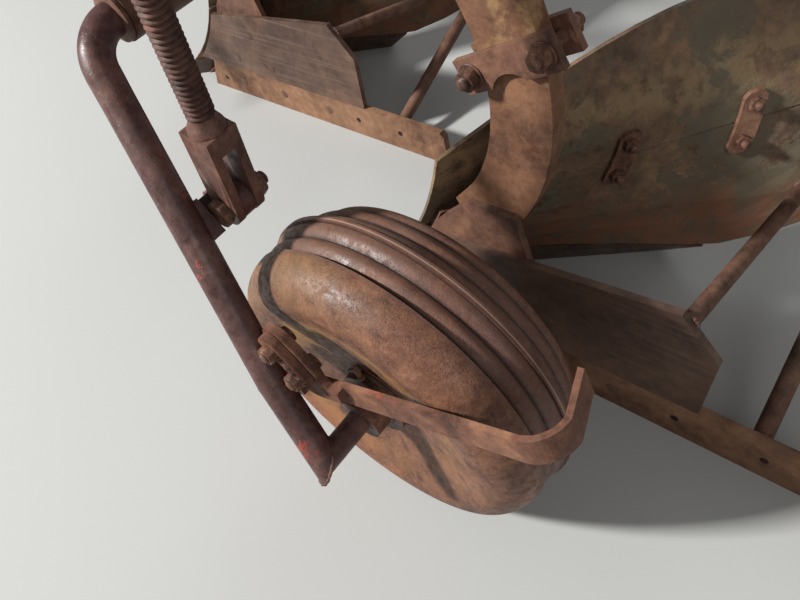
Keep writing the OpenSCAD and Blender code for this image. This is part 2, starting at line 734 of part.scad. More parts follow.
// Scraper: a plate on the arm, and a strap bolted to it that bends round the wheel's shoulder
module along_bolts() {
    v = bolt_low - bolt_high;
    translate(bolt_high) rotate(atan2(v[1], v[0])) children();
}
module scraper_bracket() {
    long = norm(bolt_low - bolt_high);
    color("#7c3f36") placed() upright(bracket_y + bracket_t, bracket_t) along_bolts()
        translate([-15, -18]) square([long + 37, 42]);
}
module scraper_strap() {
    long = norm(bolt_low - bolt_high);
    pad_t = strap_t + 1;
    flat_y = bracket_y - near - pad_t / 2;
    corner = [-strap_back + strap_turn_r, strap_side];
    slope = atan2(flat_y - corner[1], -corner[0]);
    tail = corner + strap_turn_r * [sin(slope), -cos(slope)];
    color("#80493c") placed() {
        upright(bracket_y - near, pad_t) along_bolts() {
            circle(r = bolt_pad_r);
            translate([0, -bolt_pad_r]) square([long, 2 * bolt_pad_r]);
            translate([long, 0]) circle(r = bolt_pad_r);
        }
        translate([strap_start[0], 0, strap_start[1]]) rotate([0, strap_slope, 0])
            translate([0, 0, -strap_h / 2]) linear_extrude(strap_h) polygon(concat(
                strap_side_pts(tail, slope, strap_turn_r + strap_t / 2, flat_y + strap_t / 2),
                reversed(strap_side_pts(tail, slope, strap_turn_r - strap_t / 2, flat_y - strap_t / 2))));
    }
}
// One face of the strap seen from above: straight, round its turn, then along its tail
function strap_side_pts(tail, slope, r, y) = concat([[0, y]],
    [for (i = [0:12]) let (a = mix(90 + slope, 180, i / 12)) tail + r * [cos(a), sin(a)]],
    [[tail[0] - r + strap_lean, strap_short]]);

// Screw with its forged fork, along its own axis from the fork's pin
module along_screw() {
    translate([screw_foot[0], screw_y, screw_foot[1]]) rotate([0, -screw_lean, 0]) children();
}
module along_trunnion() {
    translate([trunnion[0], screw_y, trunnion[1]]) rotate([0, -screw_lean, 0]) children();
}
module depth_screw() {
    half = fork_total / 2;
    color("#4f3a33") placed() along_screw() difference() {
        union() {
            rotate([90, 0, 0]) translate([0, 0, -half]) cylinder(h = fork_total, r = fork_w / 2);
            translate([-fork_w / 2, -half, 0]) cube([fork_w, fork_total, fork_slot + 26]);
            translate([0, 0, fork_slot + 26]) cylinder(h = fork_len - fork_slot - 26, d1 = fork_w, d2 = screw_d + 1);
            translate([0, 0, fork_len - 1]) cylinder(h = screw_len + 1, d = screw_d);
        }
        translate([-fork_w, -fork_gap / 2, -fork_w]) cube([2 * fork_w, fork_gap, fork_slot + fork_w]);
        rotate([90, 0, 0]) translate([0, 0, -half - 1]) cylinder(h = fork_total + 2, r = fork_pin_d / 2 + eye_room);
    }
}
module fork_pin() {
    half = fork_total / 2;
    head_h = 11;
    color("#6a4638") placed() {
        rod_y(screw_foot[0], screw_foot[1], screw_y + half + 0.5, screw_y - half - 0.5 - head_h, fork_pin_d);
        rod_y(screw_foot[0], screw_foot[1], screw_y + half + 0.5 + head_h, screw_y + half + 0.5, 31, $fn = 6);
        rod_y(screw_foot[0], screw_foot[1], screw_y - half - 0.5, screw_y - half - 0.5 - head_h - 2, 31, $fn = 6);
    }
}
module trunnion_block() {
    pin_out = block_w / 2 + 1.5 + trunnion_lug_t - 0.5;
    color("#5f4438") placed() along_trunnion() difference() {
        union() {
            translate([-block_w / 2, -block_w / 2, -block_h / 2]) cube([block_w, block_w, block_h]);
            rotate([90, 0, 0]) translate([0, 0, -pin_out]) cylinder(h = 2 * pin_out, d = trunnion_pin_d);
        }
        translate([0, 0, -block_h]) cylinder(h = 2 * block_h, d = nut_journal_d + 2 * running);
    }
}
module crank_nut() {
    half = block_h / 2 + 0.5;
    top = half + nut_collar_h + nut_hub_h;
    color("#6a4a3a") placed() along_trunnion() difference() {
        union() {
            translate([0, 0, -half - nut_collar_h]) cylinder(h = nut_collar_h, d = nut_collar_d);
            translate([0, 0, -half - 1]) cylinder(h = 2 * half + 2, d = nut_journal_d);
            translate([0, 0, half]) cylinder(h = nut_collar_h + nut_hub_h, d = nut_collar_d);
            translate([0, -15, top - 10]) cube([crank_len, 30, 10]);
            translate([crank_len, 0, top - 10]) cylinder(h = 10, d = 30);
            translate([crank_len, 0, top - 5]) cylinder(h = 125, d = 25);
        }
        translate([0, 0, -half - 40]) cylinder(h = top + half + 80, d = screw_d + 2 * nut_bore_room);
    }
}

beam_rear();
beam_front();
cross_member_front();
cross_member_rear();
brace_diagonal();
headstock_left();
headstock_right();
headstock_brace();
hitch_shaft();
hitch_bracket_left();
hitch_bracket_right();
rear_frog();
rear_share();
rear_mouldboard_lower();
rear_mouldboard_upper();
rear_joining_strips();
rear_landside();
rear_landside_bar();
rear_cross_stay();
rear_heel_stay();
rear_coulter_clamp();
front_frog();
front_share();
front_mouldboard_lower();
front_mouldboard_upper();
front_joining_strips();
front_landside();
front_landside_bar();
front_cross_stay();
front_heel_stay();
front_coulter_clamp();
wheel_bracket();
crank_arm();
pivot_collar();
stub_collar();
wheel_shell_outer();
wheel_shell_inner();
wheel_hub();
scraper_bracket();
scraper_strap();
fork_pin();
depth_screw();
trunnion_block();
crank_nut();
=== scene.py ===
"""Looks of a two-furrow mouldboard plough: worn paint, rust, rubbed steel and its small fittings."""
import math

import bmesh
import bpy
from mathutils import Matrix, Vector, noise


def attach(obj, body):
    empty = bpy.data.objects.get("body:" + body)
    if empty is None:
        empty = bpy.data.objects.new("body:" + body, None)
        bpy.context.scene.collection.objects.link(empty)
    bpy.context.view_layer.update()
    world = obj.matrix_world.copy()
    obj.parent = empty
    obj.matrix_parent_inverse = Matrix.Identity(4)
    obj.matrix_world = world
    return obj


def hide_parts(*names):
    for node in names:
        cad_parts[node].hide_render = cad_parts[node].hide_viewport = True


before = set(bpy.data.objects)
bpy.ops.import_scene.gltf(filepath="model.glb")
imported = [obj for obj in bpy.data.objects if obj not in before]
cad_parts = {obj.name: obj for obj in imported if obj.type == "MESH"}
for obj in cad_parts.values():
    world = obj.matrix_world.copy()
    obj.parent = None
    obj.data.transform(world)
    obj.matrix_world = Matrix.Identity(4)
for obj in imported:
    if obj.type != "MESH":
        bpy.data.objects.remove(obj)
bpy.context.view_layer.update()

# Where the depth wheel's axle is in the plough's own frame, in metres like the values of the finishes
AXLE = Vector((-0.466, 0.522848, 0.246))
X = Vector((1, 0, 0))
Y = Vector((0, 1, 0))
Z = Vector((0, 0, 1))

# Places and sizes of shapes are in millimetres, from the ground under the wheel's middle
AXLE_Z = 246
SEAM_R = 246
RIB_PITCH = 23.5
PIVOT_X, PIVOT_Z = 328, 693
LANDSIDE_Y = -205
BODY_STEP = (950, -360)


def place(x, y, z):
    """A point given from the ground under the wheel's middle."""
    return Vector((AXLE.x + x / 1000, AXLE.y + y / 1000, z / 1000))


def on_body(index, x, y, z):
    """The same for a body: 0 the rear one, 1 the front one, with y from its landside."""
    return place(x + index * BODY_STEP[0], y + LANDSIDE_Y + index * BODY_STEP[1], z)


# Node groups and the finishes made of them
def new_group(name, inputs, outputs):
    group = bpy.data.node_groups.new(name, "ShaderNodeTree")
    for label, kind, value in inputs:
        sock = group.interface.new_socket(label, in_out="INPUT", socket_type=kind)
        sock.default_value = value
    for label, kind in outputs:
        group.interface.new_socket(label, in_out="OUTPUT", socket_type=kind)
    return group, group.nodes.new("NodeGroupInput"), group.nodes.new("NodeGroupOutput")


class Tree:
    """Short names for the nodes and links of one node tree."""

    def __init__(self, tree):
        self.nodes, self.links = tree.nodes, tree.links

    def put(self, socket, value):
        if hasattr(value, "is_output"):
            self.links.new(value, socket)
        else:
            socket.default_value = value

    def noise(self, where, scale, detail=4.0, rough=0.6, distort=0.0):
        n = self.nodes.new("ShaderNodeTexNoise")
        self.put(n.inputs["Vector"], where)
        self.put(n.inputs["Scale"], scale)
        self.put(n.inputs["Detail"], detail)
        self.put(n.inputs["Roughness"], rough)
        self.put(n.inputs["Distortion"], distort)
        return n.outputs["Fac"]

    def cells(self, where, scale):
        n = self.nodes.new("ShaderNodeTexVoronoi")
        self.put(n.inputs["Vector"], where)
        self.put(n.inputs["Scale"], scale)
        return n.outputs["Distance"]

    def span(self, value, low, high, to_low=0.0, to_high=1.0):
        n = self.nodes.new("ShaderNodeMapRange")
        n.interpolation_type = "SMOOTHSTEP"
        for i, v in enumerate((value, low, high, to_low, to_high)):
            self.put(n.inputs[i], v)
        return n.outputs[0]

    def calc(self, what, a, b=0.0, clamp=False):
        n = self.nodes.new("ShaderNodeMath")
        n.operation = what
        n.use_clamp = clamp
        self.put(n.inputs[0], a)
        self.put(n.inputs[1], b)
        return n.outputs[0]

    def times(self, a, b, clamp=False):
        return self.calc("MULTIPLY", a, b, clamp)

    def mix(self, share, a, b):
        n = self.nodes.new("ShaderNodeMix")
        n.data_type = "RGBA"
        self.put(n.inputs["Factor"], share)
        self.put(n.inputs["A"], a)
        self.put(n.inputs["B"], b)
        return n.outputs["Result"]

    def tint(self, colour, share, rgb):
        """The colour so far, covered by another where the share is 1."""
        return self.mix(share, colour, rgba(rgb))

    def stretch(self, where, scale):
        n = self.nodes.new("ShaderNodeMapping")
        self.put(n.inputs["Vector"], where)
        self.put(n.inputs["Scale"], scale)
        return n.outputs["Vector"]

    def here(self):
        return self.nodes.new("ShaderNodeTexCoord").outputs["Object"]

    def split(self, vector):
        n = self.nodes.new("ShaderNodeSeparateXYZ")
        self.links.new(vector, n.inputs[0])
        return n.outputs

    def facing(self, kind="Normal"):
        return self.split(self.nodes.new("ShaderNodeNewGeometry").outputs[kind])


def rgba(rgb):
    return (rgb[0], rgb[1], rgb[2], 1.0)


def build_rust_group():
    """Rust in broad blotches and fine grain, with a height for its pits and scale."""
    group, given, out = new_group("rust", [
        ("Where", "NodeSocketVector", (0, 0, 0)),
        ("Dark", "NodeSocketColor", (0.03, 0.015, 0.01, 1)),
        ("Middle", "NodeSocketColor", (0.12, 0.05, 0.03, 1)),
        ("Light", "NodeSocketColor", (0.3, 0.14, 0.06, 1)),
        ("Blotch size", "NodeSocketFloat", 9.0),
        ("Grain size", "NodeSocketFloat", 260.0),
        ("Pitting", "NodeSocketFloat", 0.5),
    ], [("Colour", "NodeSocketColor"), ("Height", "NodeSocketFloat")])
    t = Tree(group)
    where, dark, middle, light, blotch, fine, pitting = given.outputs[:7]
    broad = t.noise(where, blotch, 5.0, 0.62, 0.6)
    grain = t.noise(where, fine, 3.0, 0.7)
    mottle = t.noise(where, t.times(blotch, 5.5), 4.0, 0.66, 0.3)
    tone = t.calc("ADD", t.times(broad, 0.62), t.times(mottle, 0.38))
    first = t.mix(t.span(tone, 0.36, 0.54), dark, middle)
    second = t.mix(t.span(tone, 0.5, 0.68), first, light)
    pits = t.span(t.cells(where, t.times(fine, 0.7)), 0.05, 0.34, 1.0, 0.0)
    holes = t.times(pits, t.span(mottle, 0.34, 0.54))
    deep = t.times(holes, pitting, True)
    speck = t.mix(t.times(deep, 0.75), second, dark)
    fleck = t.span(grain, 0.55, 0.75, 0.0, 0.4)
    t.links.new(t.mix(fleck, speck, light), out.inputs["Colour"])
    t.links.new(t.calc("SUBTRACT", t.times(grain, 0.5), deep), out.inputs["Height"])
    return group


def build_flake_group():
    """Where old paint is left: 1 on paint, 0 on bare metal, ragged at its edges."""
    group, given, out = new_group("paint_left", [
        ("Where", "NodeSocketVector", (0, 0, 0)),
        ("Left", "NodeSocketFloat", 0.5),
        ("Patch size", "NodeSocketFloat", 6.0),
    ], [("Mask", "NodeSocketFloat")])
    t = Tree(group)
    where = given.outputs["Where"]
    patch = t.noise(where, given.outputs["Patch size"], 6.0, 0.68, 0.4)
    chips = t.noise(where, t.times(given.outputs["Patch size"], 14.0), 4.0, 0.7)
    field = t.calc("ADD", t.times(patch, 0.76), t.times(chips, 0.24))
    limit = t.calc("SUBTRACT", 0.72, t.times(given.outputs["Left"], 0.44))
    t.links.new(t.span(field, limit, t.calc("ADD", limit, 0.025)), out.inputs["Mask"])
    return group


def build_dust_group():
    """Pale dry soil: thin on every side, thicker where a face looks up."""
    group, given, out = new_group("dry_soil", [
        ("Where", "NodeSocketVector", (0, 0, 0)),
        ("Amount", "NodeSocketFloat", 0.3),
    ], [("Mask", "NodeSocketFloat")])
    t = Tree(group)
    where = given.outputs["Where"]
    cloud = t.noise(where, 12.0, 5.0, 0.65, 0.3)
    specks = t.noise(where, 180.0, 3.0, 0.7)
    field = t.calc("ADD", t.times(cloud, 0.7), t.times(specks, 0.3))
    facing = t.span(t.facing()["Z"], -0.2, 0.9, 0.35, 1.0)
    dust = t.times(t.span(field, 0.42, 0.66), facing)
    t.links.new(t.times(dust, given.outputs["Amount"], True), out.inputs["Mask"])
    return group


SOIL_DUST = (0.3, 0.21, 0.135)
RUST = build_rust_group()
PAINT_LEFT = build_flake_group()
DRY_SOIL = build_dust_group()


def use(t, group, **values):
    node = t.nodes.new("ShaderNodeGroup")
    node.node_tree = group
    for label, value in values.items():
        t.put(node.inputs[label.replace("_", " ")], value)
    return node.outputs


def worn_steel(name, dark, middle, light, blotch=9.0, grain=260.0, pitting=0.5, rough=(0.5, 0.8),
               metal=0.0, coats=(), dust=0.25, bump=0.0006, marks=None):
    """Rusted steel, under coats of paint (colour, how much is left, patch size), marks and dry soil."""
    material = bpy.data.materials.new(name)
    material.use_nodes = True
    t = Tree(material.node_tree)
    shader = t.nodes["Principled BSDF"]
    where = t.here()
    rust = use(t, RUST, Where=where, Dark=rgba(dark), Middle=rgba(middle), Light=rgba(light),
               Blotch_size=blotch, Grain_size=grain, Pitting=pitting)
    colour, height = rust["Colour"], rust["Height"]
    roughness = t.span(t.noise(where, blotch * 3.0), 0.35, 0.65, rough[0], rough[1])
    for paint, left, patch in coats:
        flakes = use(t, PAINT_LEFT, Where=where, Left=left, Patch_size=patch)
        faded = t.mix(t.span(t.noise(where, patch * 5.0), 0.4, 0.62, 0.0, 0.55), rgba(paint),
                      rgba([0.55 * c + 0.45 * m for c, m in zip(paint, middle)]))
        colour = t.mix(flakes["Mask"], colour, faded)
        height = t.calc("ADD", height, t.times(flakes["Mask"], 0.5))
    if marks:
        colour = marks(t, colour)
    soil = use(t, DRY_SOIL, Where=where, Amount=dust)["Mask"]
    colour = t.tint(colour, soil, SOIL_DUST)
    t.links.new(colour, shader.inputs["Base Color"])
    t.links.new(t.calc("ADD", roughness, t.times(soil, 0.25), True), shader.inputs["Roughness"])
    shader.inputs["Metallic"].default_value = metal
    shader.inputs["Specular IOR Level"].default_value = 0.28
    bumped = t.nodes.new("ShaderNodeBump")
    bumped.inputs["Distance"].default_value = bump
    bumped.inputs["Strength"].default_value = 0.8
    t.links.new(height, bumped.inputs["Height"])
    t.links.new(bumped.outputs["Normal"], shader.inputs["Normal"])
    return material


# Colours of the marks that are particular to one piece
OCHRE_PAINT = (0.3, 0.165, 0.055)
OLIVE_PAINT = (0.2, 0.135, 0.055)
ORANGE_RUST = (0.29, 0.105, 0.04)
CRUMBLED_RUST = (0.26, 0.1, 0.04)
MAUVE_RUST = (0.1, 0.052, 0.042)
# Painted shade with some dirt, near-black, for the grooves between the wheel's ribs
GROOVE_SHADE_AND_DIRT = (0.02, 0.01, 0.009)
# Painted shade for the crease at the foot of the step beside the wheel's seam
CREASE_SHADE = (0.03, 0.014, 0.012)
RUBBED_SEAM = (0.34, 0.21, 0.17)
PALE_BAND = (0.26, 0.175, 0.09)
GREEN_TRACES = (0.05, 0.095, 0.07)
FOOT_RUST = (0.19, 0.075, 0.04)
BARE_DARK = (0.085, 0.045, 0.03)
BARE_LIGHT = (0.2, 0.115, 0.075)
YELLOW_STAIN = (0.33, 0.21, 0.09)
DARK_PATCH = (0.07, 0.03, 0.022)
RUBBED_LINES = (0.24, 0.155, 0.11)
BROWN_FILM = (0.15, 0.075, 0.044)


def wheel_place(t):
    """Where a point of the wheel is, from the axle: ahead, out from the seam, up, and its radius."""
    at = t.split(t.here())
    x = t.calc("SUBTRACT", at["X"], AXLE.x)
    y = t.calc("SUBTRACT", at["Y"], AXLE.y)
    z = t.calc("SUBTRACT", at["Z"], AXLE.z)
    radius = t.calc("SQRT", t.calc("ADD", t.times(x, x), t.times(z, z)))
    return x, y, z, radius


def wheel_marks(t, colour):
    """Painted shade with dirt in the grooves between the ribs, a painted shade line in the crease beside
    the seam, paint left round the dish, and the rubbed edge of the seam.
    """
    x, y, z, radius = wheel_place(t)
    from_seam = t.calc("ABSOLUTE", y)
    where = t.here()
    cloud = t.noise(where, 16.0, 5.0, 0.66, 0.4)
    fine = t.noise(where, 120.0, 3.0, 0.7)

    dish = t.times(t.span(radius, 0.085, 0.15), t.span(radius, 0.15, 0.176, 1.0, 0.0))
    upper = t.span(t.calc("ADD", t.times(x, 0.75), z), -0.17, 0.12, 0.18, 1.0)
    ochre = t.times(t.times(dish, upper), t.span(cloud, 0.36, 0.56))
    colour = t.tint(colour, t.times(ochre, 0.85), OCHRE_PAINT)

    crown = t.times(t.span(radius, 0.17, 0.215), t.span(t.calc("ADD", x, z), 0.1, 0.3))
    patches = t.calc("ADD", cloud, t.times(fine, 0.3))
    olive = t.times(crown, t.span(patches, 0.5, 0.74))
    colour = t.tint(colour, t.times(olive, 0.3), OLIVE_PAINT)

    lower = t.span(t.calc("SUBTRACT", z, x), -0.1, -0.3)
    low = t.times(lower, t.span(cloud, 0.4, 0.6))
    colour = t.tint(colour, t.times(low, 0.65), ORANGE_RUST)
    grit = t.span(t.noise(where, 420.0, 3.0, 0.75), 0.5, 0.62)
    crumbs = t.times(grit, t.span(cloud, 0.3, 0.6, 0.2, 0.75))
    colour = t.tint(colour, t.times(crumbs, 0.55), CRUMBLED_RUST)

    tread = t.span(from_seam, 0.052, 0.06, 1.0, 0.0)
    ribs = t.times(tread, t.span(radius, 0.18, 0.2))
    mauve = t.times(ribs, t.span(cloud, 0.34, 0.62, 0.25, 0.7))
    colour = t.tint(colour, mauve, MAUVE_RUST)
    # Painted shade with dirt: the grooves between the ribs are darkened almost to black where the ribs
    # shade them
    turn = t.calc("ABSOLUTE", t.calc("SINE", t.times(y, math.pi / (RIB_PITCH / 1000))))
    groove_shade_and_dirt = t.times(t.span(turn, 0.0, 0.5, 1.0, 0.0), ribs)
    groove_shade_and_dirt = t.times(groove_shade_and_dirt, t.span(from_seam, 0.004, 0.007))
    colour = t.tint(colour, t.times(groove_shade_and_dirt, 0.85), GROOVE_SHADE_AND_DIRT)

    # Painted shade: a thin dark line in the crease beside the seam
    beside = t.calc("ABSOLUTE", t.calc("SUBTRACT", from_seam, 0.0046))
    crease_shade = t.times(t.span(beside, 0.0004, 0.0012, 1.0, 0.0), ribs)
    colour = t.tint(colour, t.times(crease_shade, 0.8), CREASE_SHADE)
    seam = t.times(t.span(from_seam, 0.0004, 0.0013, 1.0, 0.0), ribs)
    return t.tint(colour, t.times(seam, 0.75), RUBBED_SEAM)


def board_marks(t, colour):
    """On the back a pale band, green traces and a rusty foot; on the working face bare rubbed steel."""
    where = t.here()
    z = t.split(where)["Z"]
    cloud = t.noise(where, 6.5, 5.0, 0.68, 0.6)
    patch = t.noise(where, 26.0, 5.0, 0.7, 0.3)
    level = t.calc("ADD", z, t.times(t.calc("SUBTRACT", cloud, 0.5), 0.16))
    band = t.times(t.span(level, 0.31, 0.35), t.span(level, 0.38, 0.42, 1.0, 0.0))
    yellow = t.times(band, t.span(patch, 0.42, 0.56))
    colour = t.tint(colour, t.times(yellow, 0.6), PALE_BAND)
    green = t.times(t.span(patch, 0.56, 0.66), t.span(cloud, 0.45, 0.6))
    colour = t.tint(colour, t.times(green, 0.4), GREEN_TRACES)
    foot = t.times(t.span(level, 0.2, 0.12), t.span(patch, 0.36, 0.56))
    colour = t.tint(colour, t.times(foot, 0.8), FOOT_RUST)
    streaks = t.noise(t.stretch(where, (6.0, 40.0, 70.0)), 1.0, 4.0, 0.65)
    bare = t.mix(t.span(streaks, 0.38, 0.66), rgba(BARE_DARK), rgba(BARE_LIGHT))
    working_face = t.span(t.facing("True Normal")["Y"], 0.0, -0.1, 0.0, 0.92)
    return t.mix(working_face, colour, bare)


def leg_marks(t, colour):
    """A yellow stain down the leg, left by its old paint, and darker patches."""
    where = t.here()
    cloud = t.noise(where, 5.0, 5.0, 0.66, 0.8)
    patch = t.noise(where, 34.0, 5.0, 0.7, 0.2)
    stain = t.times(t.span(cloud, 0.5, 0.62), t.span(patch, 0.4, 0.6))
    colour = t.tint(colour, t.times(stain, 0.55), YELLOW_STAIN)
    dark = t.times(t.span(cloud, 0.42, 0.32), t.span(patch, 0.46, 0.6))
    return t.tint(colour, t.times(dark, 0.6), DARK_PATCH)


def landside_marks(t, colour):
    """Fine rubbed lines along the way it travels, with broad browner patches."""
    rubbed = t.stretch(t.here(), (3.0, 60.0, 140.0))
    streaks = t.span(t.noise(rubbed, 1.0, 3.0, 0.6), 0.5, 0.72)
    colour = t.tint(colour, t.times(streaks, 0.28), RUBBED_LINES)
    cloud = t.noise(t.here(), 7.0, 5.0, 0.66, 0.5)
    return t.tint(colour, t.span(cloud, 0.5, 0.7, 0.0, 0.5), BROWN_FILM)


# Each finish: its dark, middle and light rust, and how it differs from plain worn steel
FINISHES = {
    "leg_tan_rust": (
        (0.055, 0.024, 0.015), (0.13, 0.059, 0.032), (0.21, 0.104, 0.055),
        dict(blotch=11, pitting=0.35, dust=0.18, marks=leg_marks)),
    "frame_rust": (
        (0.035, 0.016, 0.012), (0.105, 0.047, 0.03), (0.19, 0.092, 0.052),
        dict(coats=[((0.17, 0.035, 0.025), 0.16, 5.0)], dust=0.2)),
    "clamp_rust": (
        (0.05, 0.023, 0.016), (0.13, 0.06, 0.038), (0.22, 0.112, 0.066),
        dict(blotch=13, pitting=0.3, dust=0.15)),
    "board_back": (
        (0.055, 0.034, 0.023), (0.125, 0.076, 0.046), (0.23, 0.135, 0.074),
        dict(coats=[((0.098, 0.08, 0.052), 0.5, 4.0)], dust=0.12, marks=board_marks)),
    "soil_worn": (
        (0.055, 0.031, 0.024), (0.1, 0.058, 0.042), (0.155, 0.092, 0.062),
        dict(blotch=6, grain=320, pitting=0.16, rough=(0.34, 0.56), metal=0.3, dust=0.12,
             marks=landside_marks)),
    "heel_rust": (
        (0.075, 0.034, 0.02), (0.165, 0.082, 0.044), (0.26, 0.14, 0.078),
        dict(blotch=8, pitting=0.3, dust=0.22)),
    "wheel_rust": (
        (0.046, 0.02, 0.014), (0.115, 0.05, 0.03), (0.195, 0.09, 0.05),
        dict(blotch=34, grain=470, pitting=1.0, rough=(0.4, 0.66), dust=0.05, bump=0.0005,
             marks=wheel_marks)),
    "hub_rust": (
        (0.03, 0.014, 0.012), (0.09, 0.04, 0.03), (0.22, 0.1, 0.055),
        dict(blotch=20, pitting=0.6, rough=(0.45, 0.7), dust=0.15)),
    "arm_dark": (
        (0.028, 0.012, 0.012), (0.068, 0.031, 0.028), (0.13, 0.062, 0.05),
        dict(blotch=16, pitting=0.45, rough=(0.3, 0.52), coats=[((0.2, 0.035, 0.025), 0.3, 8.0)],
             dust=0.08)),
    "strap_rust": (
        (0.045, 0.019, 0.013), (0.12, 0.05, 0.03), (0.22, 0.098, 0.052),
        dict(blotch=12, pitting=0.5, coats=[((0.2, 0.045, 0.028), 0.26, 10.0)], dust=0.12)),
    "greased_screw": (
        (0.022, 0.01, 0.008), (0.068, 0.029, 0.02), (0.14, 0.062, 0.04),
        dict(blotch=24, pitting=0.3, rough=(0.6, 0.8), dust=0.03)),
    "fork_rust": (
        (0.05, 0.023, 0.018), (0.11, 0.052, 0.038), (0.185, 0.095, 0.065),
        dict(blotch=18, pitting=0.4, rough=(0.4, 0.62), dust=0.1)),
    "nut_rust": (
        (0.03, 0.013, 0.01), (0.1, 0.045, 0.03), (0.23, 0.115, 0.066),
        dict(blotch=40, grain=420, pitting=0.4, rough=(0.4, 0.65), dust=0.1)),
    "weld_rust": (
        (0.035, 0.016, 0.013), (0.1, 0.046, 0.034), (0.2, 0.1, 0.065),
        dict(blotch=50, grain=400, pitting=0.5, rough=(0.45, 0.7), dust=0.1)),
    # Painted shade: a near-black finish for discs that stand in for the shaded inside of holes
    "hole_shade_black": (
        (0.006, 0.004, 0.003), (0.012, 0.007, 0.006), (0.02, 0.012, 0.01),
        dict(rough=(0.7, 0.9), dust=0.0)),
}
MATERIALS = {name: worn_steel(name, *rusts, **wear) for name, (*rusts, wear) in FINISHES.items()}

NODE_FINISH = {
    "beam_rear": "leg_tan_rust", "beam_front": "leg_tan_rust",
    "wheel_shell_outer": "wheel_rust", "wheel_shell_inner": "wheel_rust", "wheel_hub": "hub_rust",
    "crank_arm": "arm_dark", "stub_collar": "arm_dark", "pivot_collar": "arm_dark",
    "fork_pin": "nut_rust", "depth_screw": "fork_rust", "trunnion_block": "fork_rust",
    "crank_nut": "greased_screw", "scraper_bracket": "strap_rust", "scraper_strap": "strap_rust",
}
BODY_FINISH = {
    "landside": "soil_worn", "share": "soil_worn", "landside_bar": "heel_rust",
    "mouldboard_lower": "board_back", "mouldboard_upper": "board_back",
    "joining_strips": "clamp_rust", "coulter_clamp": "clamp_rust",
}
SIDES = ("rear", "front")
for side in SIDES:
    NODE_FINISH.update({side + "_" + piece: finish for piece, finish in BODY_FINISH.items()})

for name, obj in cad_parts.items():
    finish = MATERIALS[NODE_FINISH.get(name, "frame_rust")]
    for slot in obj.material_slots:
        slot.material = finish


# Shapes that the fittings are made of
WORN_EDGE = 1.2


def upright_pair(along):
    """Two directions square to a third."""
    along = along.normalized()
    first = along.orthogonal().normalized()
    return first, along.cross(first)


def skin(bm, rings, loop=False):
    """A closed skin over rings of as many points each, capped at both ends or joined in a loop."""
    rows = [[bm.verts.new(p) for p in ring] for ring in rings]
    n = len(rows[0])
    pairs = list(zip(rows, rows[1:])) + ([(rows[-1], rows[0])] if loop else [])
    for a, b in pairs:
        for i in range(n):
            bm.faces.new((a[i], a[(i + 1) % n], b[(i + 1) % n], b[i]))
    if not loop:
        bm.faces.new(rows[0][::-1])
        bm.faces.new(rows[-1])


def around(u, v, angle):
    """The direction at an angle between two that are square to each other."""
    return u * math.cos(angle) + v * math.sin(angle)


def turned(bm, at, along, profile, sides=20, flats=None, spin=0.0):
    """A turned shape from (height, radius) pairs; flats gives the sections that are hexagonal."""
    along = along.normalized()
    u, v = upright_pair(along)
    rings = []
    for k, (high, radius) in enumerate(profile):
        middle = at + along * (high / 1000)
        ring = []
        for i in range(sides):
            angle = 2 * math.pi * i / sides
            r = radius
            if flats and flats[k]:
                turn = (angle + math.pi / 6) % (math.pi / 3) - math.pi / 6
                r = min(radius, flats[k] / 2 / math.cos(turn))
            ring.append(middle + around(u, v, angle + spin) * (r / 1000))
        rings.append(ring)
    skin(bm, rings)


def bolt(bm, at, along, across=24, high=12, shank=16, out=0, washer=0, spin=0.0):
    """A hexagonal nut or head with worn corners, on a washer, with the bolt's end standing out."""
    rim = across / 2 / math.cos(math.pi / 6)
    rows = []
    base = 0.0
    if washer:
        edge = washer / 2
        rows += [(0.0, edge - 0.4, 0), (0.5, edge, 0), (2.2, edge, 0), (2.7, edge - 0.5, 0)]
        base = 2.7
    top = base + high
    rows += [(base, rim * 0.95, across), (base + high * 0.1, rim, across),
             (base + high * 0.86, rim, across), (top, rim * 0.88, across)]
    if out:
        pitch = 2.0
        turns = int(out / pitch)
        rows.append((top + 0.2, shank / 2 - 0.9, 0))
        for k in range(turns):
            z = top + 0.4 + k * pitch
            rows += [(z + 0.5, shank / 2, 0), (z + 1.0, shank / 2, 0), (z + 1.8, shank / 2 - 0.9, 0)]
        rows.append((top + turns * pitch + 1.2, shank / 2 - 2.2, 0))
    else:
        rows.append((top + 0.5, rim * 0.5, 0))
    profile = [(height, radius) for height, radius, flat in rows]
    turned(bm, at, along, profile, 24, [flat for height, radius, flat in rows], spin)


def weld(bm, points, radius, closed=False, seed=0):
    """A bead of weld along a line of points, with ripples and lumps."""
    n = len(points)
    rings = []
    for i, p in enumerate(points):
        ahead = points[(i + 1) % n] if closed or i < n - 1 else p
        behind = points[i - 1] if closed or i > 0 else p
        u, v = upright_pair(ahead - behind)
        lump = 1 + 0.22 * math.sin(i * 1.9 + seed) + 0.25 * noise.noise(p * 90 + Vector((seed, 0, 0)))
        size = radius / 1000 * lump * (1 if closed or 0 < i < n - 1 else 0.4)
        rings.append([p + around(u, v, math.pi * k / 4) * size for k in range(8)])
    # The pairs of directions can turn between two rings, so each ring is matched to the one before
    for i in range(1, n):
        ring, last = rings[i], rings[i - 1]
        turns = [ring[k:] + ring[:k] for k in range(8)]
        turns += [list(reversed(t)) for t in turns]
        rings[i] = min(turns, key=lambda t: sum((a - b).length for a, b in zip(t, last)))
    skin(bm, rings, loop=closed)


def circle(centre, along, radius, steps=60):
    u, v = upright_pair(along)
    return [centre + around(u, v, math.radians(360 * k / steps)) * (radius / 1000) for k in range(steps)]


def cut_ring(centre, along, radius, square, steps=48):
    """The line where a round bar is cut off flat, as points round it."""
    along = along.normalized()
    u, v = upright_pair(along)
    points = []
    for k in range(steps):
        a = 2 * math.pi * k / steps
        out = around(u, v, a) * (radius / 1000)
        points.append(centre + out - along * (out.dot(square) / along.dot(square)))
    return points


def line(a, b, step=4.0):
    n = max(2, int((b - a).length * 1000 / step))
    return [a.lerp(b, k / n) for k in range(n + 1)]


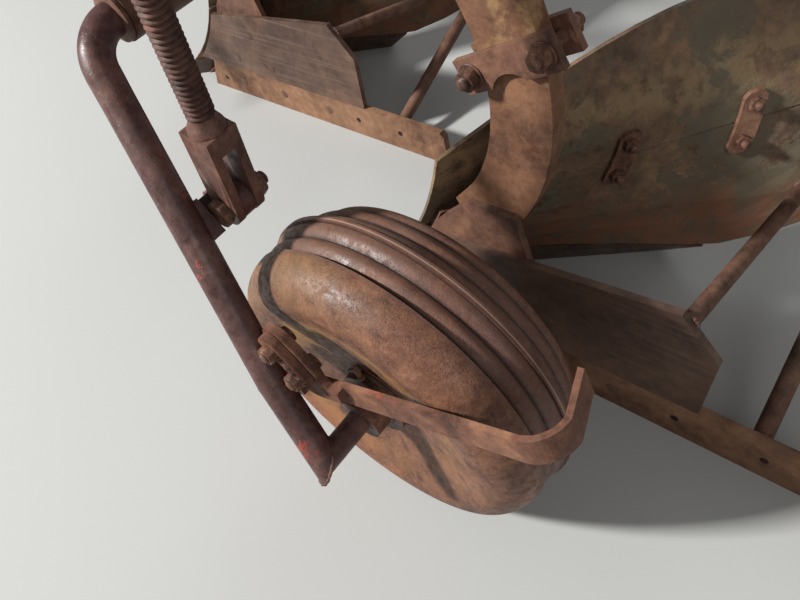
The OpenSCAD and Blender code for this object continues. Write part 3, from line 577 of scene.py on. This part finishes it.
def finish_piece(name, bm, material, body, smooth=38):
    """The mesh made so far as a piece of its own, riding on a body."""
    bmesh.ops.recalc_face_normals(bm, faces=bm.faces)
    mesh = bpy.data.meshes.new(name)
    bm.to_mesh(mesh)
    bm.free()
    for face in mesh.polygons:
        face.use_smooth = True
    mesh.set_sharp_from_angle(angle=math.radians(smooth))
    mesh.materials.append(MATERIALS[material])
    piece = bpy.data.objects.new(name, mesh)
    bpy.context.scene.collection.objects.link(piece)
    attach(piece, body)
    return piece


# The mouldboard's surface, so that bolts can stand square on it
BOARD_BACK, STRIP_BACK, BED_BACK = 7.5, 15.3, 19.4


def board_point(t, z, deep):
    """A point of the board at a way t along it and a height z, deep under its working face."""
    start = 34 + 34 * (max(z, 0) / 450) ** 0.9
    curl = 0.025
    a0, a = math.radians(start), math.radians(start - curl * t)
    q = 180 / (math.pi * curl)
    shin = 430 - 400 * (1 - math.exp(-z / 210))
    return (shin - (math.sin(a0) - math.sin(a)) * q - deep * math.sin(a),
            -8 - (math.cos(a) - math.cos(a0)) * q + deep * math.cos(a), z)


def board_out(t, z):
    """Straight out of the mouldboard's back."""
    here = Vector(board_point(t, z, 0))
    square = (Vector(board_point(t, z + 1, 0)) - here).cross(Vector(board_point(t + 1, z, 0)) - here)
    return (square if square.y > 0 else -square).normalized()


# Pieces that stand on the two bodies: clamp bolts, plough bolts and nuts on the mouldboard
STRIPS = (330, 520)
STRIP_BOLT = 27
BED_BOLTS = ((90, 140), (180, 152), (95, 330), (182, 400))
SIDE_BOLTS = ((18, 200), (-26, 118), (104, 118))
BAR_BOLTS = ((-40, 46), (120, 40), (-200, 44))
BAR_HOLES = ((-300, 44), (-430, 46), (196, 36))
# The beads along the bar's upper edge: from where to where, and how far in
BAR_TOP, BAR_BEADS = 85, ((-330, -60, -12.6), (-64, 180, -24.4))
CLAMP_MIDDLE, CLAMP_BOLT = (-41, 578), (49.9, -25.4)
CLAMP_NEAR, CLAMP_FAR = -14, -62
FROG_INSIDE, BAR_INSIDE = -24, -16
HEAD_PROFILE = ((-3.0, 7.5), (0.2, 10.5), (0.6, 10.6), (0.9, 10.0))
HOLE_PROFILE = ((-1.0, 6.5), (0.25, 6.5))
# Where each stay stands on the landside and on the board, and its radius
STAYS = (((-290, -12.3, 264), (672, 160), 12), ((-415, -16.3, 46), (770, 240), 14))


def strip_bolts(t):
    """The two bolts of a joining strip, one on each side of the slit, which rises along the board."""
    slit = 245 + 0.07 * t
    return ((t, slit - STRIP_BOLT), (t, slit + STRIP_BOLT))


def body_nuts(index):
    bolts = bmesh.new()
    for k, sign in enumerate((-1, 1)):
        x = CLAMP_MIDDLE[0] + sign * CLAMP_BOLT[0]
        z = CLAMP_MIDDLE[1] + sign * CLAMP_BOLT[1]
        bolt(bolts, on_body(index, x, CLAMP_NEAR, z), Y, 25, 13, 16, out=7, washer=34, spin=0.3 + k)
        bolt(bolts, on_body(index, x, CLAMP_FAR, z), -Y, 24, 13, 16, out=12, washer=34, spin=0.8 * k)
    for strip in STRIPS:
        for (t, z), step in zip(strip_bolts(strip), (-STRIP_BOLT, STRIP_BOLT)):
            at = on_body(index, *board_point(t, z, STRIP_BACK))
            bolt(bolts, at, board_out(t, z), 21, 11, 13, out=9, spin=t * 0.1 + step)
    for t, z in BED_BOLTS:
        at = on_body(index, *board_point(t, z, BED_BACK))
        bolt(bolts, at, board_out(t, z), 21, 11, 13, out=7, spin=t)
    for x, z in SIDE_BOLTS:
        bolt(bolts, on_body(index, x, FROG_INSIDE, z), -Y, 21, 11, 13, out=7, spin=x)
    for x, z in BAR_BOLTS:
        bolt(bolts, on_body(index, x, BAR_INSIDE, z), -Y, 21, 11, 13, out=7, spin=x)
    return bolts


def plough_bolt_heads(index):
    """Flat heads, flush with the faces that the soil slides on."""
    heads = bmesh.new()
    for x, z in SIDE_BOLTS + BAR_BOLTS:
        turned(heads, on_body(index, x, 0, z), Y, HEAD_PROFILE, 24)
    for t, z in BED_BOLTS + strip_bolts(STRIPS[0]) + strip_bolts(STRIPS[1]):
        turned(heads, on_body(index, *board_point(t, z, 0)), -board_out(t, z), HEAD_PROFILE, 24)
    return heads


# Near-black discs on both faces of the landside bar: painted shade in place of the shaded inside of its
# holes
def bar_hole_shade_discs(index):
    holes = bmesh.new()
    for x, z in BAR_HOLES:
        turned(holes, on_body(index, x, 0, z), Y, HOLE_PROFILE, 24)
        turned(holes, on_body(index, x, BAR_INSIDE, z), -Y, HOLE_PROFILE, 24)
    return holes


def body_welds(index):
    """Beads round the ends of the stays and along the landside bar."""
    beads = bmesh.new()
    for foot, (t, z), radius in STAYS:
        a, b = on_body(index, *foot), on_body(index, *board_point(t, z, BOARD_BACK))
        weld(beads, cut_ring(a, b - a, radius, Y), 2.8, closed=True, seed=index)
        weld(beads, cut_ring(b, b - a, radius, board_out(t, z)), 2.8, closed=True, seed=index + 3)
    for k, (x0, x1, y) in enumerate(BAR_BEADS):
        ends = on_body(index, x0, y, BAR_TOP), on_body(index, x1, y, BAR_TOP)
        weld(beads, line(*ends), 2.6, seed=5 + 2 * k + index)
    return beads


def body_fittings(index, side):
    finish_piece(side + "_body_nuts", body_nuts(index), "nut_rust", "plough")
    finish_piece(side + "_plough_bolt_heads", plough_bolt_heads(index), "soil_worn", "plough")
    finish_piece(side + "_bar_hole_shade_discs", bar_hole_shade_discs(index), "hole_shade_black", "plough")
    finish_piece(side + "_body_welds", body_welds(index), "weld_rust", "plough")


# The pivot bracket's and the brace's bolts, and the frame's welds
MEMBER_FOOT, MEMBER_TOP = 827.5, 907.5
BRACKET_BOLTS_X, BRACKET_BOLTS_Z = (232, 350), 790
BRACE_BOLTS_X, BRACE_BOLTS_Z = (410.5, 480.5), (806, 762)
NEAR_FACE, FAR_FACE, BRACE_FACE = -217, -269, -267
BEAM_EDGES_X = (1310, 1390, 1150, 1230)
BEAM_FAR_FACES, BEAM_THICK = (-257, -617), 28
# Each beam's two faces, with the way towards its middle
BEAM_FACES = ((-229, -1), (-257, 1), (-589, -1), (-617, 1))
# Beads along the two members: the faces that they follow, their ends, height and size
MEMBER_BEADS = (
    ((-474, -458, -526, -542), 1292, 1408, MEMBER_TOP, 3.6),
    ((-275, -295, -705, -725), 1312, 1388, MEMBER_FOOT, 3.6),
    ((-474, -526), 1172, 1194, MEMBER_TOP, 3.2))
SLEEVE_END, SLEEVE_BEAD = -216.4, 32.5


def frame_fittings():
    bolts = bmesh.new()
    for x in BRACKET_BOLTS_X:
        z = BRACKET_BOLTS_Z
        bolt(bolts, place(x, NEAR_FACE, z), Y, 28, 14, 20, out=9, washer=40, spin=x)
        bolt(bolts, place(x, FAR_FACE, z), -Y, 28, 14, 20, out=12, washer=40, spin=x * 2)
    for x in BRACE_BOLTS_X:
        for k, z in enumerate(BRACE_BOLTS_Z):
            bolt(bolts, place(x, BRACE_FACE, z), -Y, 23, 12, 16, out=8, spin=x + 0.5 + k)
    finish_piece("frame_bolts", bolts, "nut_rust", "plough")

    beads = bmesh.new()
    for x in BEAM_EDGES_X:
        for y, inward in BEAM_FACES:
            ends = place(x, y, MEMBER_FOOT), place(x, y + inward * BEAM_THICK / 2, MEMBER_FOOT)
            weld(beads, line(*ends), 3.4, seed=y)
        for y in BEAM_FAR_FACES:
            ends = place(x, y, MEMBER_FOOT), place(x, y + BEAM_THICK, MEMBER_FOOT)
            weld(beads, line(*ends), 3.4, seed=x + y)
    for faces, x0, x1, z, size in MEMBER_BEADS:
        for y in faces:
            weld(beads, line(place(x0, y, z), place(x1, y, z)), size, seed=y)
    sleeve = circle(place(PIVOT_X, SLEEVE_END, PIVOT_Z), Y, SLEEVE_BEAD, steps=72)
    weld(beads, sleeve, 3.4, closed=True, seed=2)
    finish_piece("frame_welds", beads, "weld_rust", "plough")


def wear_edges(bm, edges):
    """Sharp edges worn round."""
    bmesh.ops.bevel(bm, geom=edges, offset=WORN_EDGE / 1000, segments=2, affect="EDGES",
                    clamp_overlap=True)


def slab(bm, outline, y_near, y_far):
    """An upright plate from its outline seen from the side, as (x, z), with its edges worn round."""
    rings = [[place(x, y, z) for x, z in outline] for y in (y_near, y_far)]
    skin(bm, rings)
    bmesh.ops.recalc_face_normals(bm, faces=bm.faces)
    rims = [e for e in bm.edges if e.calc_face_angle(0) > math.radians(50)]
    wear_edges(bm, rims)


def arc(x, z, radius, start, end, steps=10):
    angles = [math.radians(start + (end - start) * k / steps) for k in range(steps + 1)]
    return [(x + radius * math.cos(a), z + radius * math.sin(a)) for a in angles]


# The scraper's plate, welded to the arm's upper side, with the strap's pad bolted behind it
PLATE_BOLTS = ((65, 398), (37, 361))
PLATE_BEAD = ((49, 392), (24, 356))
PLATE_NEAR, PLATE_FAR, PAD_FAR = 150, 138, 126.4


def scraper_plate():
    (x1, z1), (x2, z2) = PLATE_BOLTS
    plate = bmesh.new()
    outline = [(x1 + 24, z1 - 16)]
    outline += arc(x1 + 2, z1 + 2, 19, 20, 150)
    outline += arc(x2 + 1, z2 - 2, 19, 150, 215)
    outline += [(x2 - 2, z2 - 24), (x2 + 16, z2 - 26)]
    slab(plate, outline, PLATE_NEAR, PLATE_FAR)
    finish_piece("scraper_plate", plate, "strap_rust", "wheel_arm")

    pad = bmesh.new()
    outline = [(x1 + 26, z1 - 18)]
    outline += arc(x1, z1 + 3, 24, 10, 146)
    outline += arc(x2 - 1, z2 + 1, 24, 146, 190)
    outline += [(x2 - 36, z2 - 11), (x2 - 54, z2 - 8), (x2 - 54, z2 - 30), (x2 - 8, z2 - 52),
                (x2 + 54, z2 - 70), (x2 + 56, z2 - 28)]
    slab(pad, outline, PLATE_FAR, PAD_FAR)
    finish_piece("scraper_pad", pad, "strap_rust", "wheel_arm")


# The crank arm's welds and washer, the start of its bend, and the bolts that it carries
ARM_FOOT = place(0, 187, AXLE_Z)
ARM_KINK = place(69, 166, 350)
ARM_TOP = place(PIVOT_X, 50, PIVOT_Z)
BEND_RADIUS = 55
WASHER_PROFILE = ((0, 29), (0.6, 30), (5, 30), (5.6, 29))
EASING_PROFILE = ((-1, 20.3), (0, 20.42), (8, 20.3), (28, 20.03))
LUG_X, LUG_Z, LUG_HALF = 216, 492, 17.5
# The lug's welds: half their length, how far out they are, their bead and seed
LUG_WELDS = ((13.5, 81.5, 3.6, 0), (13, 53.5, 2.8, 4))
STRAP_BOLTS = ((111, 345), (83, 306))
STRAP_NEAR, BRACKET_FAR = 144, 126.7
FORK_PIN_X, FORK_PIN_Z = 176, 508
FORK_PIN_NEAR, FORK_PIN_FAR = 66.5, 21.5


def arm_welds(low, arm):
    beads = bmesh.new()
    weld(beads, cut_ring(ARM_FOOT, low, 19.4, (low + Y).normalized(), 56), 2.2, closed=True, seed=1)
    (x1, z1), (x2, z2) = PLATE_BEAD
    weld(beads, line(place(x1, PLATE_NEAR + 0.4, z1), place(x2, PLATE_NEAR + 0.4, z2), 3.0), 4.2, seed=8)
    along = Vector((arm.x, 0, arm.z)).normalized()
    across = Vector((along.z, 0, -along.x))
    lug = place(LUG_X, 0, LUG_Z)
    for sign in (-1, 1):
        side = lug + along * (sign * LUG_HALF / 1000)
        for half, out, bead, seed in LUG_WELDS:
            a, b = (side + across * (s * half / 1000) + Y * (out / 1000) for s in (-1, 1))
            weld(beads, line(a, b), bead, seed=sign + seed)
    return beads


def arm_bolts():
    bolts = bmesh.new()
    for k, (x, z) in enumerate(PLATE_BOLTS):
        bolt(bolts, place(x, PLATE_NEAR, z), Y, 22, 11, 15, out=3, spin=0.9 + k)
        bolt(bolts, place(x, PAD_FAR, z), -Y, 22, 9, 15, spin=k)
    for k, (x, z) in enumerate(STRAP_BOLTS):
        bolt(bolts, place(x, STRAP_NEAR, z), Y, 23, 12, 16, out=4, washer=30, spin=0.5 + k)
        bolt(bolts, place(x, BRACKET_FAR, z), -Y, 22, 8, 16, spin=k)
    bolt(bolts, place(FORK_PIN_X, FORK_PIN_NEAR, FORK_PIN_Z), Y, 31.5, 11.6, 18, spin=0.2)
    bolt(bolts, place(FORK_PIN_X, FORK_PIN_FAR, FORK_PIN_Z), -Y, 31.5, 13.6, 18, out=9, spin=0.9)
    return bolts


def arm_fittings():
    low = (ARM_KINK - ARM_FOOT).normalized()
    arm = (ARM_TOP - ARM_KINK).normalized()
    finish_piece("arm_welds", arm_welds(low, arm), "weld_rust", "wheel_arm")
    washer = bmesh.new()
    turned(washer, place(PIVOT_X, 2.6, PIVOT_Z), Y, WASHER_PROFILE, 48)
    finish_piece("arm_washer", washer, "clamp_rust", "wheel_arm")
    easing = bmesh.new()
    bend_start = ARM_TOP - arm * (BEND_RADIUS / 1000 * math.tan(math.acos(-arm.y) / 2))
    turned(easing, bend_start, -arm, EASING_PROFILE, 72)
    finish_piece("arm_bend_end", easing, "arm_dark", "wheel_arm")
    finish_piece("arm_bolts", arm_bolts(), "nut_rust", "wheel_arm")


# The wheel's two pressed shells, turned more finely than the solids
RIB_DEPTH = 5.5
SHELL_THICK = 4
# Each half's node and side, its width, the fall of its tread, radii at shoulder and dish, dish depth
HALVES = (
    {"node": "wheel_shell_outer", "side": 1, "wide": 104, "drop": 9, "top": 239, "rim": 188, "deep": 28},
    {"node": "wheel_shell_inner", "side": -1, "wide": 72, "drop": 21, "top": 219, "rim": 184, "deep": 21},
)
# The hole in each face: how far out and at which angle it is, and its radius
FACE_HOLE = {"out": 78, "turn": 97, "radius": 14}
# Where the ribbed tread starts and ends and the shoulder starts, from the seam
TREAD_START, TREAD_END = 4, 2 * RIB_PITCH
SHOULDER_START = TREAD_END + 4
HUB_RING_R, HUB_BARREL_R = 53, 33.2
# The weld round each end of the hub: its place along the axle, its radius, steps, bead and seed
HUB_WELDS = ((77.5, 51.6, 84, 3.2, 3), (90.6, 33.6, 64, 2.8, 6), (-52.5, 51.6, 84, 3.0, 9))
NIPPLE_Y, NIPPLE_OUT, NIPPLE_TURN = 84, 50.5, 80
# The grease nipple's height, radius and width across its flats, from foot to tip
NIPPLE_PROFILE = (
    (0, 6.5, 12), (5, 6.5, 12), (5.6, 5.6, 12), (6, 3.8, 0), (12, 3.6, 0), (13, 4.8, 0), (17, 5.2, 0),
    (20, 5.0, 0), (22, 3.8, 0), (24, 3.0, 0), (25.5, 1.8, 0))


def rib_radius(half, y):
    if y < TREAD_START:
        return SEAM_R
    depth = RIB_DEPTH * (0.35 if y < RIB_PITCH / 2 else 1)
    taper = 1.2 + half["drop"] * y / TREAD_END
    return SEAM_R - taper - depth * (1 - abs(math.sin(math.pi * y / RIB_PITCH)))


def shell_profile(half, inset):
    """Half of the wheel's section, from the seam to the hub, as (radius, distance from the seam)."""
    face = half["wide"] - inset
    ribs = [TREAD_START + (TREAD_END - TREAD_START) * k / 42 for k in range(43)]
    points = [(rib_radius(half, y) - inset, y) for y in [0, 2, 3.9] + ribs]
    for k in range(19):
        a = math.radians(90 - 5 * k)
        points.append((half["rim"] + (half["top"] - half["rim"] - inset) * math.sin(a),
                       SHOULDER_START + (face - SHOULDER_START) * math.cos(a)))
    for k in range(1, 25):
        f = k / 24
        sunk = 0.7 * f + 0.3 * (1 - math.cos(math.pi * f)) / 2
        points.append((half["rim"] + (HUB_RING_R - half["rim"]) * f, face - half["deep"] * sunk))
    points.append((HUB_BARREL_R, face - half["deep"]))
    return points


def cut_hole(piece, centre, side):
    """The round hole in a shell's dish, cut through the finished mesh."""
    a = math.radians(FACE_HOLE["turn"])
    at = centre + around(X, Z, a) * (FACE_HOLE["out"] / 1000)
    plug = bmesh.new()
    turned(plug, at, Y * side, [(20, FACE_HOLE["radius"]), (130, FACE_HOLE["radius"])], 40)
    bmesh.ops.recalc_face_normals(plug, faces=plug.faces)
    mesh = bpy.data.meshes.new("plug")
    plug.to_mesh(mesh)
    plug.free()
    cutter = bpy.data.objects.new("plug", mesh)
    bpy.context.scene.collection.objects.link(cutter)
    cut = piece.modifiers.new("hole", "BOOLEAN")
    cut.object = cutter
    cut.solver = "EXACT"
    bpy.context.view_layer.update()
    made = bpy.data.meshes.new_from_object(piece.evaluated_get(bpy.context.evaluated_depsgraph_get()))
    piece.modifiers.clear()
    piece.data = made
    bpy.data.objects.remove(cutter)


def build_shell(half, sides=160):
    profile = shell_profile(half, 0) + shell_profile(half, SHELL_THICK)[::-1]
    centre = place(0, 0, AXLE_Z)
    bm = bmesh.new()
    rings = []
    for i in range(sides):
        out = around(X, Z, 2 * math.pi * i / sides)
        rings.append([centre + out * (r / 1000) + Y * (half["side"] * y / 1000) for r, y in profile])
    skin(bm, rings, loop=True)
    shell = finish_piece(half["node"] + "_turned", bm, "wheel_rust", "depth_wheel", smooth=55)
    cut_hole(shell, centre, half["side"])
    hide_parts(half["node"])


def wheel_fittings():
    for half in HALVES:
        build_shell(half)
    beads = bmesh.new()
    for y, radius, steps, bead, seed in HUB_WELDS:
        weld(beads, circle(place(0, y, AXLE_Z), Y, radius, steps), bead, closed=True, seed=seed)
    finish_piece("wheel_welds", beads, "weld_rust", "depth_wheel")
    nipple = bmesh.new()
    up = around(X, Z, math.radians(NIPPLE_TURN))
    foot = place(0, NIPPLE_Y, AXLE_Z) + up * (NIPPLE_OUT / 1000)
    profile = [(height, radius) for height, radius, flat in NIPPLE_PROFILE]
    flats = [flat for height, radius, flat in NIPPLE_PROFILE]
    turned(nipple, foot, up, profile, 20, flats)
    finish_piece("grease_nipple", nipple, "heel_rust", "depth_wheel")


# The depth screw: its fork as modelled, and a rod with a coarse thread in place of the plain one
SCREW_LEAN = math.radians(5.5)
SCREW_FOOT = place(FORK_PIN_X, 44, FORK_PIN_Z)
SCREW_UP = Vector((-math.sin(SCREW_LEAN), 0, math.cos(SCREW_LEAN)))
FORK_TOP, THREAD_START, SCREW_TOP = 110.0, 127.0, 472.0
THREAD_CORE, THREAD_CREST, THREAD_PITCH, THREAD_SHOULDER = 13.4, 16.5, 6.6, 15.0
NECK_PROFILE = (
    (FORK_TOP - 6, 22.6), (FORK_TOP, 22.6), (FORK_TOP + 4, 21.6), (FORK_TOP + 9, 19.0),
    (FORK_TOP + 13, 16.6), (THREAD_START + 1, 15.2))


def screw_fork():
    """A copy of the screw's mesh below its neck, with worn edges, and the neck turned anew."""
    bm = bmesh.new()
    bm.from_mesh(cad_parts["depth_screw"].data)
    bmesh.ops.remove_doubles(bm, verts=bm.verts, dist=1e-6)

    def height(vert):
        return (vert.co - SCREW_FOOT).dot(SCREW_UP) * 1000

    gone = [f for f in bm.faces if sum(height(v) for v in f.verts) / len(f.verts) > FORK_TOP + 2]
    bmesh.ops.delete(bm, geom=gone, context="FACES")
    bmesh.ops.dissolve_limit(bm, angle_limit=math.radians(1.0), verts=bm.verts, edges=bm.edges)
    sharp = [e for e in bm.edges if len(e.link_faces) == 2 and e.calc_face_angle() > math.radians(40)]
    wear_edges(bm, sharp)
    turned(bm, SCREW_FOOT, SCREW_UP, NECK_PROFILE, 40)
    return bm


def threaded_rod(bm, low, high):
    """A rod whose skin winds along the thread, so that each crest is one unbroken line."""
    profile = (0.0, 0.35, 0.9, 1.0, 0.9, 0.35)
    sides, steps = 32, len(profile)
    u, v = upright_pair(SCREW_UP)
    first = -steps - 1
    last = int((high - low) / THREAD_PITCH * steps) + steps + 1
    rows = []
    for k in range(first, last + 1):
        row = []
        for i in range(sides):
            z = low + (k / steps + i / sides) * THREAD_PITCH
            radius = THREAD_CORE + (THREAD_CREST - THREAD_CORE) * profile[k % steps]
            if k <= first + steps:
                z, radius = low, THREAD_SHOULDER
            elif k >= last - steps:
                z, radius = high, 0.0
            z = min(max(z, low), high)
            out = around(u, v, 2 * math.pi * i / sides) * (radius / 1000)
            row.append(bm.verts.new(SCREW_FOOT + SCREW_UP * (z / 1000) + out))
        rows.append(row)
    made = [v for row in rows for v in row]

    def corner(k, i):
        return rows[k][i] if i < sides else rows[min(k + steps, len(rows) - 1)][0]

    for k in range(len(rows) - 1):
        for i in range(sides):
            four = (corner(k, i), corner(k, i + 1), corner(k + 1, i + 1), corner(k + 1, i))
            if len(set(four)) == 4:
                bm.faces.new(four)
    bmesh.ops.remove_doubles(bm, verts=made, dist=2e-6)


def build_screw():
    fork = finish_piece("screw_fork", screw_fork(), "fork_rust", "screw_rod")
    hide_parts("depth_screw")
    bm = bmesh.new()
    threaded_rod(bm, THREAD_START, SCREW_TOP)
    rod = finish_piece("screw_thread", bm, "greased_screw", "screw_rod", smooth=50)
    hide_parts("depth_screw")


for index, side in enumerate(SIDES):
    body_fittings(index, side)
frame_fittings()
arm_fittings()
scraper_plate()
wheel_fittings()
build_screw()


# Camera, light and floor
CAMERA_AT = place(-451.03, 347.78, 1034.36)
CAMERA_RIGHT = Vector((-0.76947, -0.60819, -0.19498))
CAMERA_DOWN = Vector((-0.38380, 0.68434, -0.61998))
CAMERA_AHEAD = Vector((0.51050, -0.40222, -0.76000))
FLOOR_REACH = 9.0
# Each lamp: its power, its width and where it hangs
LAMPS = {
    "key": (1650.0, 0.8, (4.6, 5.6, 5.5)),
    "rear_fill": (70.0, 3.0, (-4.2, 2.6, 3.2)),
    "side_fill": (60.0, 3.0, (0.6, -4.6, 3.2)),
}
LAMPS_AIM = Vector((-0.4, 0.2, 0.3))


def build_camera():
    cam = bpy.data.cameras.new("camera")
    cam.lens = 31.45
    cam.sensor_width = 36.0
    obj = bpy.data.objects.new("camera", cam)
    bpy.context.scene.collection.objects.link(obj)
    spin = Matrix((CAMERA_RIGHT, -CAMERA_DOWN, -CAMERA_AHEAD)).transposed()
    obj.matrix_world = Matrix.Translation(CAMERA_AT) @ spin.to_4x4()
    bpy.context.scene.camera = obj


def build_floor():
    mesh = bpy.data.meshes.new("floor")
    corners = [(x * FLOOR_REACH, y * FLOOR_REACH, 0) for x, y in ((-1, -1), (1, -1), (1, 1), (-1, 1))]
    mesh.from_pydata(corners, [], [(0, 1, 2, 3)])
    floor = bpy.data.objects.new("floor", mesh)
    bpy.context.scene.collection.objects.link(floor)
    material = bpy.data.materials.new("pale_floor")
    material.use_nodes = True
    shader = material.node_tree.nodes["Principled BSDF"]
    shader.inputs["Base Color"].default_value = (0.36, 0.36, 0.345, 1)
    shader.inputs["Roughness"].default_value = 0.9
    floor.data.materials.append(material)


def build_light():
    world = bpy.data.worlds.new("studio")
    world.use_nodes = True
    background = world.node_tree.nodes["Background"]
    background.inputs["Color"].default_value = (0.97, 0.98, 1.0, 1)
    background.inputs["Strength"].default_value = 0.24
    bpy.context.scene.world = world
    for name, (power, width, at) in LAMPS.items():
        lamp = bpy.data.lights.new(name, "AREA")
        lamp.energy = power
        lamp.size = width
        obj = bpy.data.objects.new(name, lamp)
        obj.location = at
        obj.rotation_euler = (LAMPS_AIM - Vector(at)).to_track_quat("-Z", "Y").to_euler()
        bpy.context.scene.collection.objects.link(obj)


build_camera()
build_floor()
build_light()
bpy.context.scene.view_settings.view_transform = "Standard"
